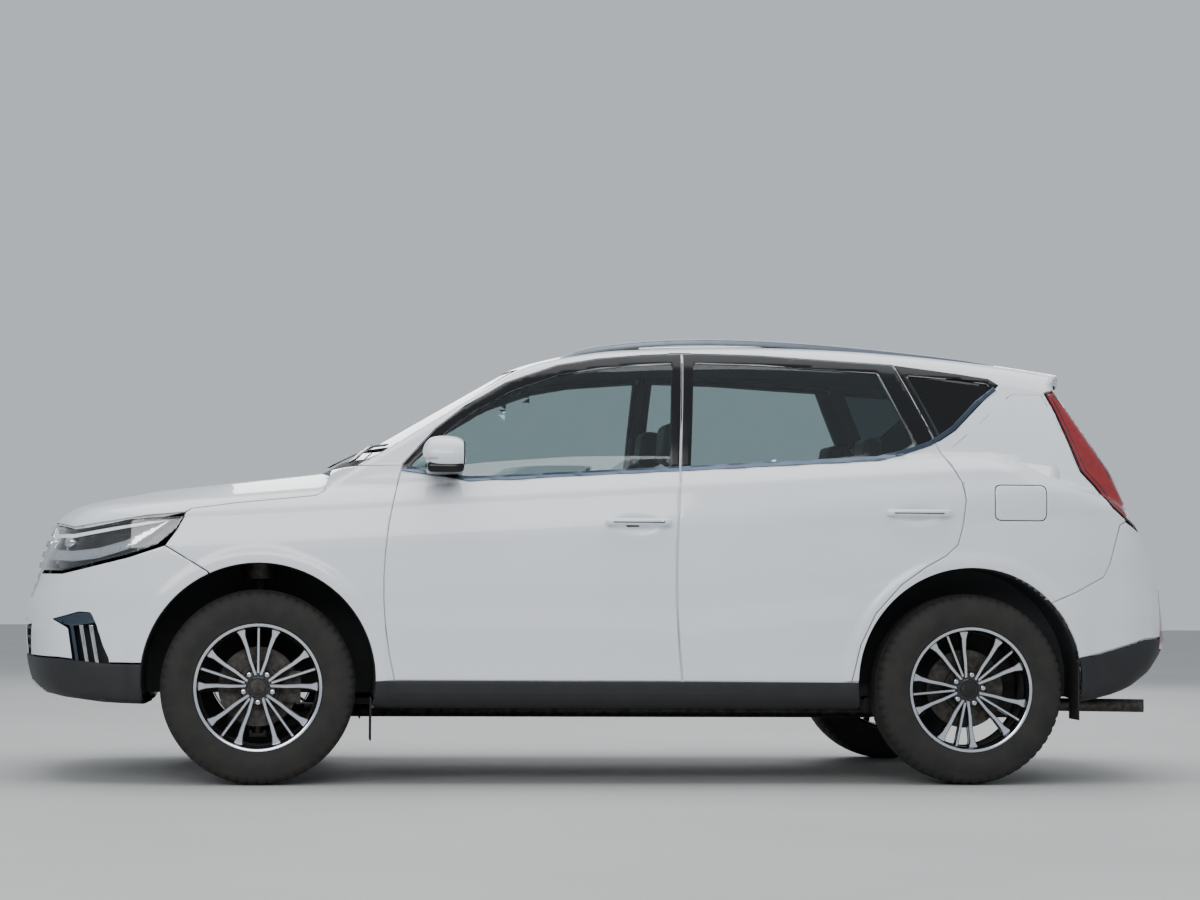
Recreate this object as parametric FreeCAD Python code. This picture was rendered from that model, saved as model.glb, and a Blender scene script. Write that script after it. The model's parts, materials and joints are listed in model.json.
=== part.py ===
"""Compact five-door family SUV, built as an assembly of separate pieces.

Frame: +X to the rear, +Y to the car's right, +Z up, origin on the ground under the middle
of the car.  All sizes are in millimetres.
"""
import FreeCAD, Part
import math
import os

V = FreeCAD.Vector
ORIGIN = V(0, 0, 0)
X_DIR = V(1, 0, 0)
Y_DIR = V(0, 1, 0)
Z_DIR = V(0, 0, 1)

# Driving dimensions of the whole car
half_length = 2290
wheelbase = 2720
front_axle_x = -wheelbase / 2
rear_axle_x = wheelbase / 2
tyre_radius = 366
tyre_width = 235
wheel_mid_y = 782
wheel_z = tyre_radius
roof_peak_x = 550
roof_peak_z = 1718
belt_slope = 0.065
shut_gap = 5
small_gap = 0.3

# Wall thicknesses, measured inwards from the outer surface
skin = 10
sheet = 12
bonnet_thickness = 30
lower_wall = 85
upper_wall = 45
glass_depth = 6
glass_thickness = 5

# Curvature of the big surfaces
end_radius = 2400
screen_foot_radius = 4700
screen_top_radius = 6500
header_radius = 7500
bonnet_radius = 6000
roof_radius = 8000

# Wheel arches
arch_radius = 440
arch_centre_z = 394
front_house_wall_y = 436
rear_house_wall_y = 636
liner_thickness = 4

VIA = "via"


def place(u, v, plane):
    """Turn plane coordinates into a point: xz side view, yz front view, xy plan view."""
    if plane == "xz":
        return V(u, 0, v)
    if plane == "yz":
        return V(0, u, v)
    return V(u, v, 0)


def face(points, plane):
    """Closed face from points (u, v); a point (u, v, VIA) is the middle of an arc."""
    edges = []
    start = place(points[0][0], points[0][1], plane)
    first = start
    middle = None
    for point in list(points[1:]) + [points[0]]:
        here = place(point[0], point[1], plane)
        if len(point) == 3:
            middle = here
            continue
        if middle is not None:
            edges.append(Part.Arc(start, middle, here).toShape())
            middle = None
        elif (here - start).Length > 1e-6:
            edges.append(Part.LineSegment(start, here).toShape())
        start = here
    assert (start - first).Length < 1e-6
    return Part.Face(Part.Wire(edges))


def inset(shape, depth):
    """Face shrunk by depth on every side."""
    if depth == 0:
        return shape
    smaller = shape.makeOffset2D(-depth, 2)
    return smaller if smaller.ShapeType == "Face" else smaller.Faces[0]


def side_prism(points, y0, y1, depth=0):
    """Side-view outline made solid from y0 to y1."""
    flat = inset(face(points, "xz"), depth)
    flat.translate(V(0, y0, 0))
    return flat.extrude(V(0, y1 - y0, 0))


def front_prism(points, x0, x1, depth=0):
    """Front-view outline made solid from x0 to x1."""
    flat = inset(face(points, "yz"), depth)
    flat.translate(V(x0, 0, 0))
    return flat.extrude(V(x1 - x0, 0, 0))


def plan_prism(points, z0, z1, depth=0):
    """Plan-view outline made solid from z0 to z1."""
    flat = inset(face(points, "xy"), depth)
    flat.translate(V(0, 0, z0))
    return flat.extrude(V(0, 0, z1 - z0))


def box(x0, x1, y0, y1, z0, z1):
    """Box between two corners."""
    return Part.makeBox(x1 - x0, y1 - y0, z1 - z0, V(x0, y0, z0))


def rod(start, end, radius):
    """Round bar between two points."""
    return Part.makeCylinder(radius, (end - start).Length, start, end - start)


def both_halves(half):
    """Outline in the front view from its right half, listed from the bottom middle up."""
    other = [(-p[0],) + tuple(p[1:]) for p in reversed(half) if p[0] > 1e-9]
    return list(half) + other


def mirrored(shape):
    """Copy on the other side of the car."""
    return shape.mirror(ORIGIN, Y_DIR)


def fused(shapes):
    """One solid from touching shapes."""
    result = shapes[0]
    if len(shapes) > 1:
        result = result.fuse(shapes[1:])
    return result.removeSplitter()


def save(name, *shapes):
    """Write one sub-part, as a compound where it has several solids."""
    solids = []
    for shape in shapes:
        solids.extend(shape.Solids)
    result = solids[0] if len(solids) == 1 else Part.makeCompound(solids)
    result.exportStep("parts/%s.step" % name)
    return result


os.makedirs("parts", exist_ok=True)

# The skin of the car: every surface can be moved inwards by a depth

nose_line = [
    (-1700, 1180), (-1880, 1106), (-2009, 1074), (-2108, 1041), (-2179, 984), (-2235, 860),
    (-2250, 767), (-2284, 660), (-half_length, 560), (-2278, 440), (-2262, 377), (-2225, 318),
    (-2110, 283), (-1500, 262),
]
tail_line = [
    (1800, 1760), (1878, 1612), (1842, 1552), (2074, 1215), (2181, 987), (2220, 887), (2252, 812),
    (2270, 700), (half_length, 600), (half_length, 540), (2268, 500), (2220, 430), (2146, 370),
    (2065, 338), (1940, 308), (1400, 262),
]
low_section = [
    (0, 280), (800, 280), (866, 300), (884, 340), (893, 420), (899, 600), (910, 760), (910, 1500),
    (0, 1500),
]
high_section = [
    (0, 100), (960, 100), (918, 880), (906, 1010), (880, 1125), (815, 1188), (0, 1350),
]
roof_section = [
    (0, 1080), (832, 1080), (815, 1180), (757, 1420, VIA), (672, 1630), (648, 1680, VIA),
    (590, 1696), (300, 1713, VIA), (0, roof_peak_z),
]
plan_front = [(-1500, 910), (-1790, 884, VIA), (-2010, 815), (-2150, 712, VIA), (-2255, 540),
              (-2320, 300)]
plan_rear = [(2320, 300), (2250, 560), (2150, 745, VIA), (2010, 838), (1790, 892, VIA), (1500, 910)]
screen_line = [(-1108, 1202), (-378, 1622)]
header_line = [(-378, 1622), (-60, 1703)]
bonnet_line = [(-1811, 1114), (-1108, 1196)]


def turned_end(line, sign, depth):
    """Front or rear end of the car: its side-view line turned about an upright axis."""
    axis_x = sign * (half_length - end_radius)
    spare = 200
    top = 2000
    points = [(axis_x - sign * spare, -spare), (axis_x - sign * spare, top)]
    points += [(line[0][0], top)] + list(line) + [(line[-1][0], -spare)]
    profile = inset(face(points, "xz"), depth)
    low = min(axis_x, sign * 3000)
    window = face([(low, -500), (low + abs(sign * 3000 - axis_x), -500),
                   (low + abs(sign * 3000 - axis_x), 2500), (low, 2500)], "xz")
    profile = profile.common(window).Faces[0]
    return profile.revolve(V(axis_x, 0, 0), Z_DIR, 360)


def slanted_arch(line, radius, depth):
    """Everything under a cambered sheet whose middle line is given in the side view."""
    (x0, z0), (x1, z1) = line
    along = V(x1 - x0, 0, z1 - z0).normalize()
    up = V(-along.z, 0, along.x)
    half_width = 1300
    below = 3200
    reach = 4000
    centre = V(x0, 0, z0) - up * radius - along * reach
    bow = radius - depth
    edge = math.sqrt(bow ** 2 - half_width ** 2)
    left = centre + up * edge - Y_DIR * half_width
    right = centre + up * edge + Y_DIR * half_width
    top = Part.Arc(left, centre + up * bow, right).toShape()
    foot = [right, right - up * below, left - up * below, left]
    sides = [Part.LineSegment(a, b).toShape() for a, b in zip(foot, foot[1:])]
    return Part.Face(Part.Wire([top] + sides)).extrude(along * (2 * reach))


def above_screen(depth):
    """Space over the windscreen, whose camber flattens towards the roof."""
    (x0, z0), (x1, z1) = screen_line
    along = V(x1 - x0, 0, z1 - z0)
    span = along.Length
    along.normalize()
    up = V(-along.z, 0, along.x)
    half_width = 1100
    ends = []
    foot_bend = 1 / screen_foot_radius
    top_bend = 1 / screen_top_radius
    for reach in (-450, span + 450):
        radius = 1 / (foot_bend + (top_bend - foot_bend) * reach / span)
        centre = V(x0, 0, z0) + along * reach - up * radius
        bow = radius - depth
        edge = math.sqrt(bow ** 2 - half_width ** 2)
        left = centre + up * edge - Y_DIR * half_width
        right = centre + up * edge + Y_DIR * half_width
        arc = Part.Arc(left, centre + up * bow, right).toShape()
        corners = [right, right + up * 900, left + up * 900, left]
        lines = [Part.LineSegment(a, b).toShape() for a, b in zip(corners, corners[1:])]
        ends.append(Part.Wire([arc] + lines))
    return Part.makeLoft(ends, True, True)


def lower_body(depth):
    """Body below the windows."""
    reach = half_length + 100
    low = front_prism(both_halves(low_section), -reach, reach, depth)
    flat = inset(face(both_halves(high_section), "yz"), depth)
    flat.translate(V(-reach, 0, -reach * belt_slope))
    high = flat.extrude(V(2 * reach, 0, 2 * reach * belt_slope))
    right = plan_front[::-1] + plan_rear[::-1]
    left = [(p[0], -p[1]) + tuple(p[2:]) for p in reversed(right)]
    plan = plan_prism(right + left, 0, 1900, depth)
    shape = low.common([high])
    for other in (plan, turned_end(nose_line, -1, depth), turned_end(tail_line, 1, depth),
                  slanted_arch(bonnet_line, bonnet_radius, depth)):
        shape = shape.common(other)
    return shape


def upper_body(depth):
    """Roof, pillars and windows."""
    flat = inset(face(both_halves(roof_section), "yz"), depth)
    flat.translate(V(roof_peak_x, 0, 0))
    centre = V(roof_peak_x, 0, roof_peak_z - roof_radius)
    sweep = 14
    flat.rotate(centre, Y_DIR, -sweep)
    shape = flat.revolve(centre, Y_DIR, 2 * sweep)
    shape = shape.common(slanted_arch(header_line, header_radius, depth))
    shape = shape.cut(above_screen(depth))
    return shape.common(turned_end(tail_line, 1, depth))


def whole_body(low_depth, high_depth):
    """Closed body moved inwards by a depth below and above the belt."""
    return lower_body(low_depth).fuse(upper_body(high_depth))


outer = whole_body(0, 0)
under_skin = whole_body(skin, skin)
under_step = whole_body(skin + small_gap, skin + small_gap)
cavity = whole_body(lower_wall, upper_wall)
lower_outer = lower_body(0)
skin_layer = outer.cut(under_skin)
inner_layer = under_skin.cut(cavity)
shell = outer.cut(cavity)

far = 1200
rebate = 18
swing_room = 12

# Side-view outlines, left side as seen in the side view
front_door_line = [
    (-850, 393), (-893, 820, VIA), (-838, 1156), (-824, 1214), (-699, 1350), (-584, 1441),
    (-424, 1535), (-226, 1606), (-65, 1635), (262, 1660), (236, 1200), (214, 760, VIA), (240, 393),
]
rear_door_line = [
    (245, 393), (219, 760, VIA), (241, 1200), (267, 1660), (564, 1656), (841, 1640), (1096, 1626),
    (1244, 1318), (1275, 1248), (1322, 1164), (1334, 1095), (1323, 998), (1303, 921), (1256, 879),
    (1178, 836), (1081, 766), (984, 658), (926, 536), (893, 393),
]
front_window_line = [
    (-792, 1203), (-678, 1321), (-564, 1411), (-410, 1502), (-217, 1571), (-62, 1600), (225, 1624),
    (200, 1205), (-230, 1180), (-572, 1168),
]
rear_window_line = [
    (280, 1210), (306, 1626), (564, 1621), (841, 1605), (1030, 1595), (1160, 1318), (1105, 1278),
    (1005, 1255), (694, 1236),
]
quarter_window_line = [
    (1272, 1338), (1152, 1588), (1358, 1574), (1470, 1560), (1490, 1530), (1417, 1475),
    (1319, 1377),
]
bonnet_side_line = [
    (-2400, 980), (-2150, 978), (-2054, 958), (-1775, 1008), (-1625, 1034), (-1437, 1062),
    (-1155, 1091), (-1039, 1101),
]
headlamp_line = [
    (-2300, 798), (-2100, 796), (-2033, 812), (-1847, 859), (-1736, 897), (-1669, 955),
    (-1640, 1008), (-1775, 1000), (-2054, 950), (-2300, 966),
]
front_bumper_line = [
    (-2400, 788), (-2098, 788), (-2031, 804), (-1845, 851), (-1712, 896), (-1552, 800),
    (-1500, 600), (-1700, 455), (-1918, 455), (-2039, 465), (-2113, 472), (-2400, 476),
]
front_skirt_line = [
    (-2400, 471), (-2113, 467), (-2039, 460), (-1918, 450), (-1700, 450), (-1700, 250),
    (-2400, 250),
]
tail_lamp_line = [
    (1698, 1524), (1746, 1537), (1806, 1463), (1886, 1339), (1950, 1206), (2039, 1148),
    (2120, 1100), (2120, 978), (2055, 983), (1926, 1072), (1818, 1212), (1766, 1357),
]
rear_bumper_line = [
    (1640, 690), (1672, 701), (1770, 740), (1889, 802), (1913, 849), (1941, 946), (1957, 1004),
    (1985, 1016), (2055, 977), (2400, 975), (2400, 580), (2077, 562), (1997, 540), (1878, 508),
    (1700, 480), (1500, 480),
]
rear_skirt_line = [
    (1500, 475), (1700, 475), (1878, 503), (1997, 535), (2077, 557), (2400, 575), (2400, 250),
    (1500, 250),
]
flap_line = [(1446, 1015), (1446, 1155), (1654, 1155), (1654, 1015)]
tailgate_line = [(0, 806), (540, 806), (590, 900), (612, 1100), (625, 1220), (602, 1400),
                 (590, 1560), (578, 1760), (0, 1760)]
tail_window_line = [(0, 1236), (575, 1236), (585, 1300), (505, 1535), (0, 1545)]
windscreen_line = [(0, 1228), (735, 1222), (588, 1596), (0, 1612)]
grille_line = [(0, 706), (400, 706), (470, 800), (500, 905), (450, 955), (0, 972)]
intake_line = [(0, 400), (440, 400), (500, 600), (0, 612)]
fog_line = [(-2138, 616), (-2031, 646), (-1986, 643), (-1963, 594), (-1939, 519), (-1915, 478),
            (-2046, 478), (-2074, 582)]

bonnet_rear_radius = 4500
bonnet_rear_x = -1132
tailgate_top_x = 1655
bonnet_cutter = Part.makeCylinder(
    bonnet_rear_radius, 2000, V(bonnet_rear_x + bonnet_rear_radius, 0, 0))


def wheel_drum(axle_x, radius, y0, y1):
    """Round space of one wheel house."""
    return Part.makeCylinder(radius, y1 - y0, V(axle_x, y0, arch_centre_z), Y_DIR)


arches = [wheel_drum(front_axle_x, arch_radius, front_house_wall_y, far),
          wheel_drum(rear_axle_x, arch_radius, rear_house_wall_y, far)]
arches = arches + [mirrored(arch) for arch in arches]


def outline_grown(points, growth):
    """Outline with its corners kept, grown by a gap."""
    return inset(face(points, "xz"), -growth)


def plug_cut(points):
    """Space that a door leaves in the body on the car's right: wide outside, narrow inside."""
    wide = outline_grown(points, shut_gap)
    wide = wide.extrude(V(0, far, 0)).cut(under_step)
    narrow = inset(face(points, "xz"), rebate - shut_gap).extrude(V(0, far, 0))
    return [wide, narrow]


def door(points, window):
    """Door on the car's right: full-size outer skin with a smaller inner box behind it."""
    outside = skin_layer.common(side_prism(points, 0, far))
    core = side_prism(points, 0, far, rebate)
    shifted = core.copy()
    shifted.translate(V(-swing_room, 0, 0))
    inside = inner_layer.common(core).common(shifted)
    opening = side_prism(window, 0, far)
    whole = outside.fuse(inside).cut(opening)
    return max(whole.Solids, key=lambda solid: solid.Volume)


def pane(points, plane):
    """Sheet of glass that fits a window outline with a small gap."""
    layer = upper_body(glass_depth).cut(upper_body(glass_depth + glass_thickness))
    if plane == "xz":
        tool = side_prism(points, 0, far, small_gap)
    elif points is windscreen_line:
        tool = front_prism(both_halves(points), -1400, -250, small_gap)
    else:
        tool = front_prism(both_halves(points), 1600, 2400, small_gap)
    return layer.common(tool)


# Body panels

fender_line = [
    (-1034, 1096), (-1155, 1086), (-1437, 1057), (-1625, 1029), (-1642, 1014), (-1635, 1008),
    (-1664, 955), (-1707, 898), (-1541, 803), (-1500, 700), (-1300, 500), (-1000, 393),
    (-855, 393), (-898, 820, VIA), (-843, 1156), (-829, 1216), (-1034, 1216),
]
sill_line = [(-925, 275), (-925, 388), (935, 388), (935, 275)]
cladding_thickness = 25
bumper_thickness = 20
lamp_depth = 60
flange_height = 16
fender_rear_y = 765
cowl_half_width = 760
cowl_depth = bonnet_thickness + 4
cowl_thickness = 10
bulkhead_x = -1000
floor_half_width = 780
floor_z = 285
floor_thickness = 25
kick_up_x = 950
boot_floor_z = 560
boot_end_x = 2080
pocket_depth = 55
recess_gap = 16
recess_lip = 4
flap_pin_x = 1476
flap_pin_y = 885
flap_pin_low = 1052
flap_pin_high = 1118
flap_pin_radius = 3.5
flap_lug_height = 8

right_cuts = plug_cut(front_door_line) + plug_cut(rear_door_line)
tailgate_block = front_prism(both_halves(tailgate_line), tailgate_top_x, 2400)
tailgate_core = front_prism(both_halves(tailgate_line), tailgate_top_x + rebate, 2400, rebate)
tailgate_wide = front_prism(
    both_halves(tailgate_line), tailgate_top_x - shut_gap, 2400, -shut_gap).cut(under_step)
spoiler_space = front_prism(
    both_halves(tailgate_line), tailgate_top_x - shut_gap, 2400, -shut_gap)
spoiler_space = spoiler_space.common(box(1700, 2400, -far, far, 1530, 1800))
tailgate_narrow = front_prism(
    both_halves(tailgate_line), tailgate_top_x + rebate - shut_gap, 2400, rebate - shut_gap)
tail_lamp_block = side_prism(tail_lamp_line, 600, far).cut(tailgate_wide)
bumper_tools = [
    side_prism(line, -far, far).cut(lower_body(bumper_thickness + 1))
    for line in (rear_bumper_line, rear_skirt_line)
]
fender_tool = side_prism(fender_line, 500, far).cut(lower_body(sheet + 3))
sill_tool = side_prism(sill_line, floor_half_width, far).cut(lower_body(cladding_thickness + 1))
right_cuts += [tail_lamp_block, fender_tool, sill_tool, side_prism(quarter_window_line, 0, far)]

tools = right_cuts + [mirrored(tool) for tool in right_cuts] + arches + bumper_tools
tools += [tailgate_wide, tailgate_narrow, spoiler_space,
          front_prism(both_halves(windscreen_line), -1400, -250)]
tools += [box(-2400, bulkhead_x, -far, far, 0, 1800),
          box(bulkhead_x - 1, 2000, -floor_half_width, floor_half_width, 0, 400)]
flap_block = side_prism(flap_line, -far, -700)
flap_pocket = side_prism(flap_line, -far, -700, -shut_gap).cut(lower_body(skin + pocket_depth))
flap_recess = side_prism(flap_line, -far, -700, -recess_gap).common(lower_body(recess_lip))
flap_recess = flap_recess.cut(lower_body(skin + pocket_depth))
flap_pin_foot = V(flap_pin_x, -flap_pin_y, flap_pin_low)
flap_lugs = [box(flap_pin_x - 4, flap_pin_x + 4, -flap_pin_y - 4, -800, z, z + flap_lug_height)
             for z in (flap_pin_low, flap_pin_high - flap_lug_height)]
flap_pin = Part.makeCylinder(flap_pin_radius, flap_pin_high - flap_pin_low, flap_pin_foot)
body_shell = shell.cut(tools + [flap_pocket, flap_recess]).fuse(flap_lugs + [flap_pin])
body_shell = max(body_shell.Solids, key=lambda solid: solid.Volume)
save("body_shell", body_shell)

boss_low = flap_pin_low + flap_lug_height + small_gap
boss_high = flap_pin_high - flap_lug_height - small_gap
boss = Part.makeCylinder(flap_pin_radius + 4, boss_high - boss_low,
                         V(flap_pin_x, -flap_pin_y, boss_low))
web = box(flap_pin_x - 5, flap_pin_x + 5, -flap_pin_y - 18, -flap_pin_y, boss_low, boss_high)
fuel_flap = lower_outer.cut(lower_body(skin)).common(flap_block).fuse([boss, web])
fuel_flap = fuel_flap.cut(Part.makeCylinder(flap_pin_radius + small_gap,
                                            flap_pin_high - flap_pin_low, flap_pin_foot))
save("fuel_flap", fuel_flap)


def door_handle(x_mid, z_mid):
    """Pull handle on a right door: a bar on two feet."""
    bar = box(x_mid - 118, x_mid + 118, 918, 934, z_mid - 16, z_mid + 16)
    feet = [box(x_mid + side * 100 - 14, x_mid + side * 100 + 14, 870, 920, z_mid - 12, z_mid + 12)
            for side in (-1, 1)]
    return fused([bar] + feet)


handle_places = {"f": (70, 998), "r": (1146, 1042)}


front_door = door(front_door_line, front_window_line).fuse(door_handle(*handle_places["f"]))
rear_door = door(rear_door_line, rear_window_line).fuse(door_handle(*handle_places["r"]))
front_pane = pane(front_window_line, "xz")
rear_pane = pane(rear_window_line, "xz")
quarter_pane = pane(quarter_window_line, "xz")
for side, turn in (("r", lambda s: s), ("l", mirrored)):
    save("door_f" + side, turn(front_door))
    save("door_r" + side, turn(rear_door))
    save("door_glass_f" + side, turn(front_pane))
    save("door_glass_r" + side, turn(rear_pane))
save("quarter_glass", quarter_pane, mirrored(quarter_pane))
save("windscreen", pane(windscreen_line, "yz"))

tailgate = skin_layer.common(tailgate_block).fuse(inner_layer.common(tailgate_core))
tailgate = tailgate.cut(front_prism(both_halves(tail_window_line), 1600, 2400))
save("tailgate", max(tailgate.Solids, key=lambda solid: solid.Volume))
save("tailgate_glass", pane(tail_window_line, "yz"))

bonnet_block = side_prism(bonnet_side_line + [(-1039, 1500), (-2400, 1500)], -far, far)
bonnet = lower_outer.cut(lower_body(bonnet_thickness)).common(bonnet_block).cut(bonnet_cutter)
save("bonnet", bonnet)

fender = lower_outer.cut(lower_body(sheet)).common(side_prism(fender_line, 500, far))
fender = fender.cut([arches[0], box(-1044, -800, 0, fender_rear_y, 0, 1400)])
fender = max(fender.Solids, key=lambda solid: solid.Volume)
save("fenders", fender, mirrored(fender))

cowl_box = box(-1200, bulkhead_x - small_gap, -cowl_half_width, cowl_half_width, 1000, 1400)
screen_lip = upper_body(0).cut([lower_outer, upper_body(upper_wall)])
cowl_ring = Part.makeCylinder(bonnet_rear_radius - shut_gap, 2000,
                              V(bonnet_rear_x + bonnet_rear_radius, 0, 0))
screen_lip = screen_lip.common(cowl_ring)
cowl = lower_body(cowl_depth).cut(lower_body(cowl_depth + cowl_thickness)).fuse(
    screen_lip).common(cowl_box)
cowl = cowl.cut(front_prism(both_halves(windscreen_line), -1400, -250))
save("cowl", max(cowl.Solids, key=lambda solid: solid.Volume))

front_shell = lower_outer.cut(lower_body(bumper_thickness))
fog_block = side_prism(fog_line, 500, far)
grille_block = front_prism(both_halves(grille_line), -2400, -1900)
intake_block = front_prism(both_halves(intake_line), -2400, -1900)
front_bumper = front_shell.common(side_prism(front_bumper_line, -far, far)).cut(
    [arches[0], arches[2], grille_block, intake_block, fog_block, mirrored(fog_block)])
save("front_bumper", max(front_bumper.Solids, key=lambda solid: solid.Volume))
rear_shell = lower_outer.cut(lower_body(bumper_thickness))
rear_bumper = rear_shell.common(side_prism(rear_bumper_line, -far, far)).cut(
    [arches[1], arches[3], tail_lamp_block, mirrored(tail_lamp_block),
     front_prism(both_halves(tailgate_line), 1600, 2400, -shut_gap)])
save("rear_bumper", max(rear_bumper.Solids, key=lambda solid: solid.Volume))

front_skirt = front_shell.common(side_prism(front_skirt_line, -far, far)).cut(
    [arches[0], arches[2], intake_block, box(-1900, 0, -700, 700, 0, 400)])
rear_skirt = rear_shell.common(side_prism(rear_skirt_line, -far, far)).cut(
    [arches[1], arches[3], box(0, 1950, -floor_half_width, floor_half_width, 0, 400)])
sill = lower_outer.cut(lower_body(cladding_thickness)).common(
    side_prism(sill_line, floor_half_width, far))
sill = sill.cut(arches[:2])
save("lower_cladding", front_skirt, rear_skirt, sill, mirrored(sill))


def grille_piece(half, rim_width, count, bar):
    """Frame of an opening with level bars across it."""
    layer = lower_body(6).cut(lower_body(30))
    block = front_prism(both_halves(half), -2400, -1900, small_gap)
    core = front_prism(both_halves(half), -2400, -1900, rim_width)
    frame = layer.common(block).cut(core)
    z_low = half[0][1]
    z_high = half[-1][1]
    pitch = (z_high - z_low) / (count + 1)
    pieces = [frame]
    for row in range(1, count + 1):
        middle = z_low + row * pitch
        slab = box(-2400, -1900, -far, far, middle - bar / 2, middle + bar / 2)
        pieces.append(layer.common(block).common(slab))
    return fused(pieces)


upper_grille = grille_piece(grille_line, 22, 5, 16)
lower_grille = grille_piece(intake_line, 16, 3, 14)
save("grille", upper_grille, lower_grille)

headlamp = lower_body(2).cut(lower_body(lamp_depth)).common(
    side_prism(headlamp_line, 506, far, small_gap))
lamp_flange = side_prism(headlamp_line, 506, far, small_gap)
lamp_flange.translate(V(0, 0, -flange_height))
lamp_flange = lamp_flange.common(
    lower_body(bumper_thickness + small_gap).cut(lower_body(lamp_depth)))
headlamp = headlamp.fuse(lamp_flange.cut(arches[0])).cut(grille_block)
headlamp = max(headlamp.Solids, key=lambda solid: solid.Volume)
save("headlamps", headlamp, mirrored(headlamp))
fog_lamp = lower_body(14).cut(lower_body(lamp_depth)).common(
    side_prism(fog_line, 500, far, small_gap))
save("fog_lamps", fog_lamp, mirrored(fog_lamp))
tail_lamp = whole_body(2, 2).cut(cavity).common(
    side_prism(tail_lamp_line, 600, far, small_gap))
tail_lamp = tail_lamp.cut([tailgate_wide, tailgate_narrow])
tail_lamp = max(tail_lamp.Solids, key=lambda solid: solid.Volume)
save("tail_lamps", tail_lamp, mirrored(tail_lamp))

floor_top = floor_z + floor_thickness
floor_half = floor_half_width - small_gap
floor = fused([
    box(bulkhead_x, kick_up_x + floor_thickness, -floor_half, floor_half, floor_z, floor_top),
    box(kick_up_x, kick_up_x + floor_thickness, -floor_half, floor_half, floor_top, boot_floor_z),
    box(kick_up_x, boot_end_x, -floor_half, floor_half, boot_floor_z,
        boot_floor_z + floor_thickness),
])
house_clearance = 7
floor_cuts = [wheel_drum(rear_axle_x, arch_radius + house_clearance,
                         rear_house_wall_y - house_clearance, far),
              wheel_drum(front_axle_x, arch_radius + house_clearance,
                         front_house_wall_y - house_clearance, far)]
floor = floor.cut(floor_cuts + [mirrored(tool) for tool in floor_cuts])
save("floor_pan", floor.common(cavity.fuse(box(-1100, 2000, -floor_half, floor_half, 0, 400))))


# Wheels

rim_radius = 229
rim_flange_radius = 244
rim_wall = 9
hub_radius = 76
hub_bore_radius = 30
spoke_groups = 5
spoke_turn = 90
rear_spoke_turn = 67
disc_radius = 155
disc_thickness = 26
disc_offset = -30
half_tyre = tyre_width / 2
half_rim = 100
wheel_face = 88
spindle_radius = hub_bore_radius - small_gap


def turned(points, middle_y, x, z):
    """Ring turned about a wheel axle from points (radius, distance outwards from mid-wheel)."""
    flat = face([(radius, offset) for radius, offset in points], "xy")
    flat.translate(V(x, middle_y, z))
    return flat.revolve(V(x, 0, z), Y_DIR, 360)


def tyre(x):
    """Tyre of the car's right side."""
    section = [
        (rim_radius, -half_rim), (rim_flange_radius + 2, -half_rim - 3), (300, -half_tyre),
        (345, -half_tyre + 6), (tyre_radius - 4, -half_tyre + 24), (tyre_radius, -half_tyre + 48),
        (tyre_radius, half_tyre - 48), (tyre_radius - 4, half_tyre - 24), (345, half_tyre - 6),
        (300, half_tyre), (rim_flange_radius + 2, half_rim + 3), (rim_radius, half_rim),
    ]
    return turned(section, wheel_mid_y, x, wheel_z)


def spoke(angle, width_in, width_out, depth_in, depth_out):
    """One straight tapering spoke, pointing up before it is turned to its angle."""
    inner = hub_radius - 12
    outer_end = rim_radius - rim_wall + 2
    flat = Part.makePolygon([
        V(-width_in / 2, wheel_face - 20, inner), V(width_in / 2, wheel_face - 20, inner),
        V(width_in / 2, wheel_face - 20 - depth_in, inner),
        V(-width_in / 2, wheel_face - 20 - depth_in, inner),
        V(-width_in / 2, wheel_face - 20, inner)])
    far_end = Part.makePolygon([
        V(-width_out / 2, wheel_face, outer_end), V(width_out / 2, wheel_face, outer_end),
        V(width_out / 2, wheel_face - depth_out, outer_end),
        V(-width_out / 2, wheel_face - depth_out, outer_end),
        V(-width_out / 2, wheel_face, outer_end)])
    piece = Part.makeLoft([flat, far_end], True, True)
    piece.rotate(ORIGIN, Y_DIR, angle)
    return piece


def wheel(x, turn):
    """Rim with its spokes, hub and brake disc, of the car's right side."""
    barrel = turned([
        (rim_radius - rim_wall, -half_rim), (rim_radius - small_gap, -half_rim),
        (rim_radius - small_gap, half_rim + 0.5), (rim_flange_radius, half_rim + 3.5),
        (rim_flange_radius, half_rim + 9), (rim_radius - rim_wall, half_rim)],
        wheel_mid_y, x, wheel_z)
    disc_end = disc_offset + disc_thickness
    hub = turned([(hub_bore_radius, disc_offset), (disc_radius, disc_offset),
                  (disc_radius, disc_end), (hub_radius, disc_end), (hub_radius, wheel_face - 16),
                  (hub_bore_radius, wheel_face - 16)], wheel_mid_y, x, wheel_z)
    cap = turned([(0, wheel_face - 16), (hub_radius - 38, wheel_face - 16),
                  (hub_radius - 44, wheel_face - 8), (0, wheel_face - 8)],
                 wheel_mid_y, x, wheel_z)
    spokes = []
    for group in range(spoke_groups):
        middle = 90 - turn + group * 360 / spoke_groups
        for offset, width_in, width_out in ((-15, 26, 44), (0, 12, 12), (15, 26, 44)):
            piece = spoke(middle + offset, width_in, width_out, 34, 26)
            piece.translate(V(x, wheel_mid_y, wheel_z))
            spokes.append(piece)
    return fused([barrel, hub, cap] + spokes)


# Suspension: the steered knuckle turns about the line from its ball joint to the strut top

strut_top = V(front_axle_x, 580, 950)
piston_radius = 11
piston_gap = 3
ball_joint = V(front_axle_x, 726, 198)
strut_foot = V(front_axle_x, 598, 470)
spindle_start_y = wheel_mid_y - 72
spindle_end_y = wheel_mid_y + 66
carrier_radius = 62
ball_radius = 18
damper_radius = 26
spring_radius = 66
spring_low_z = 770
spring_high_z = 925


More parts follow.
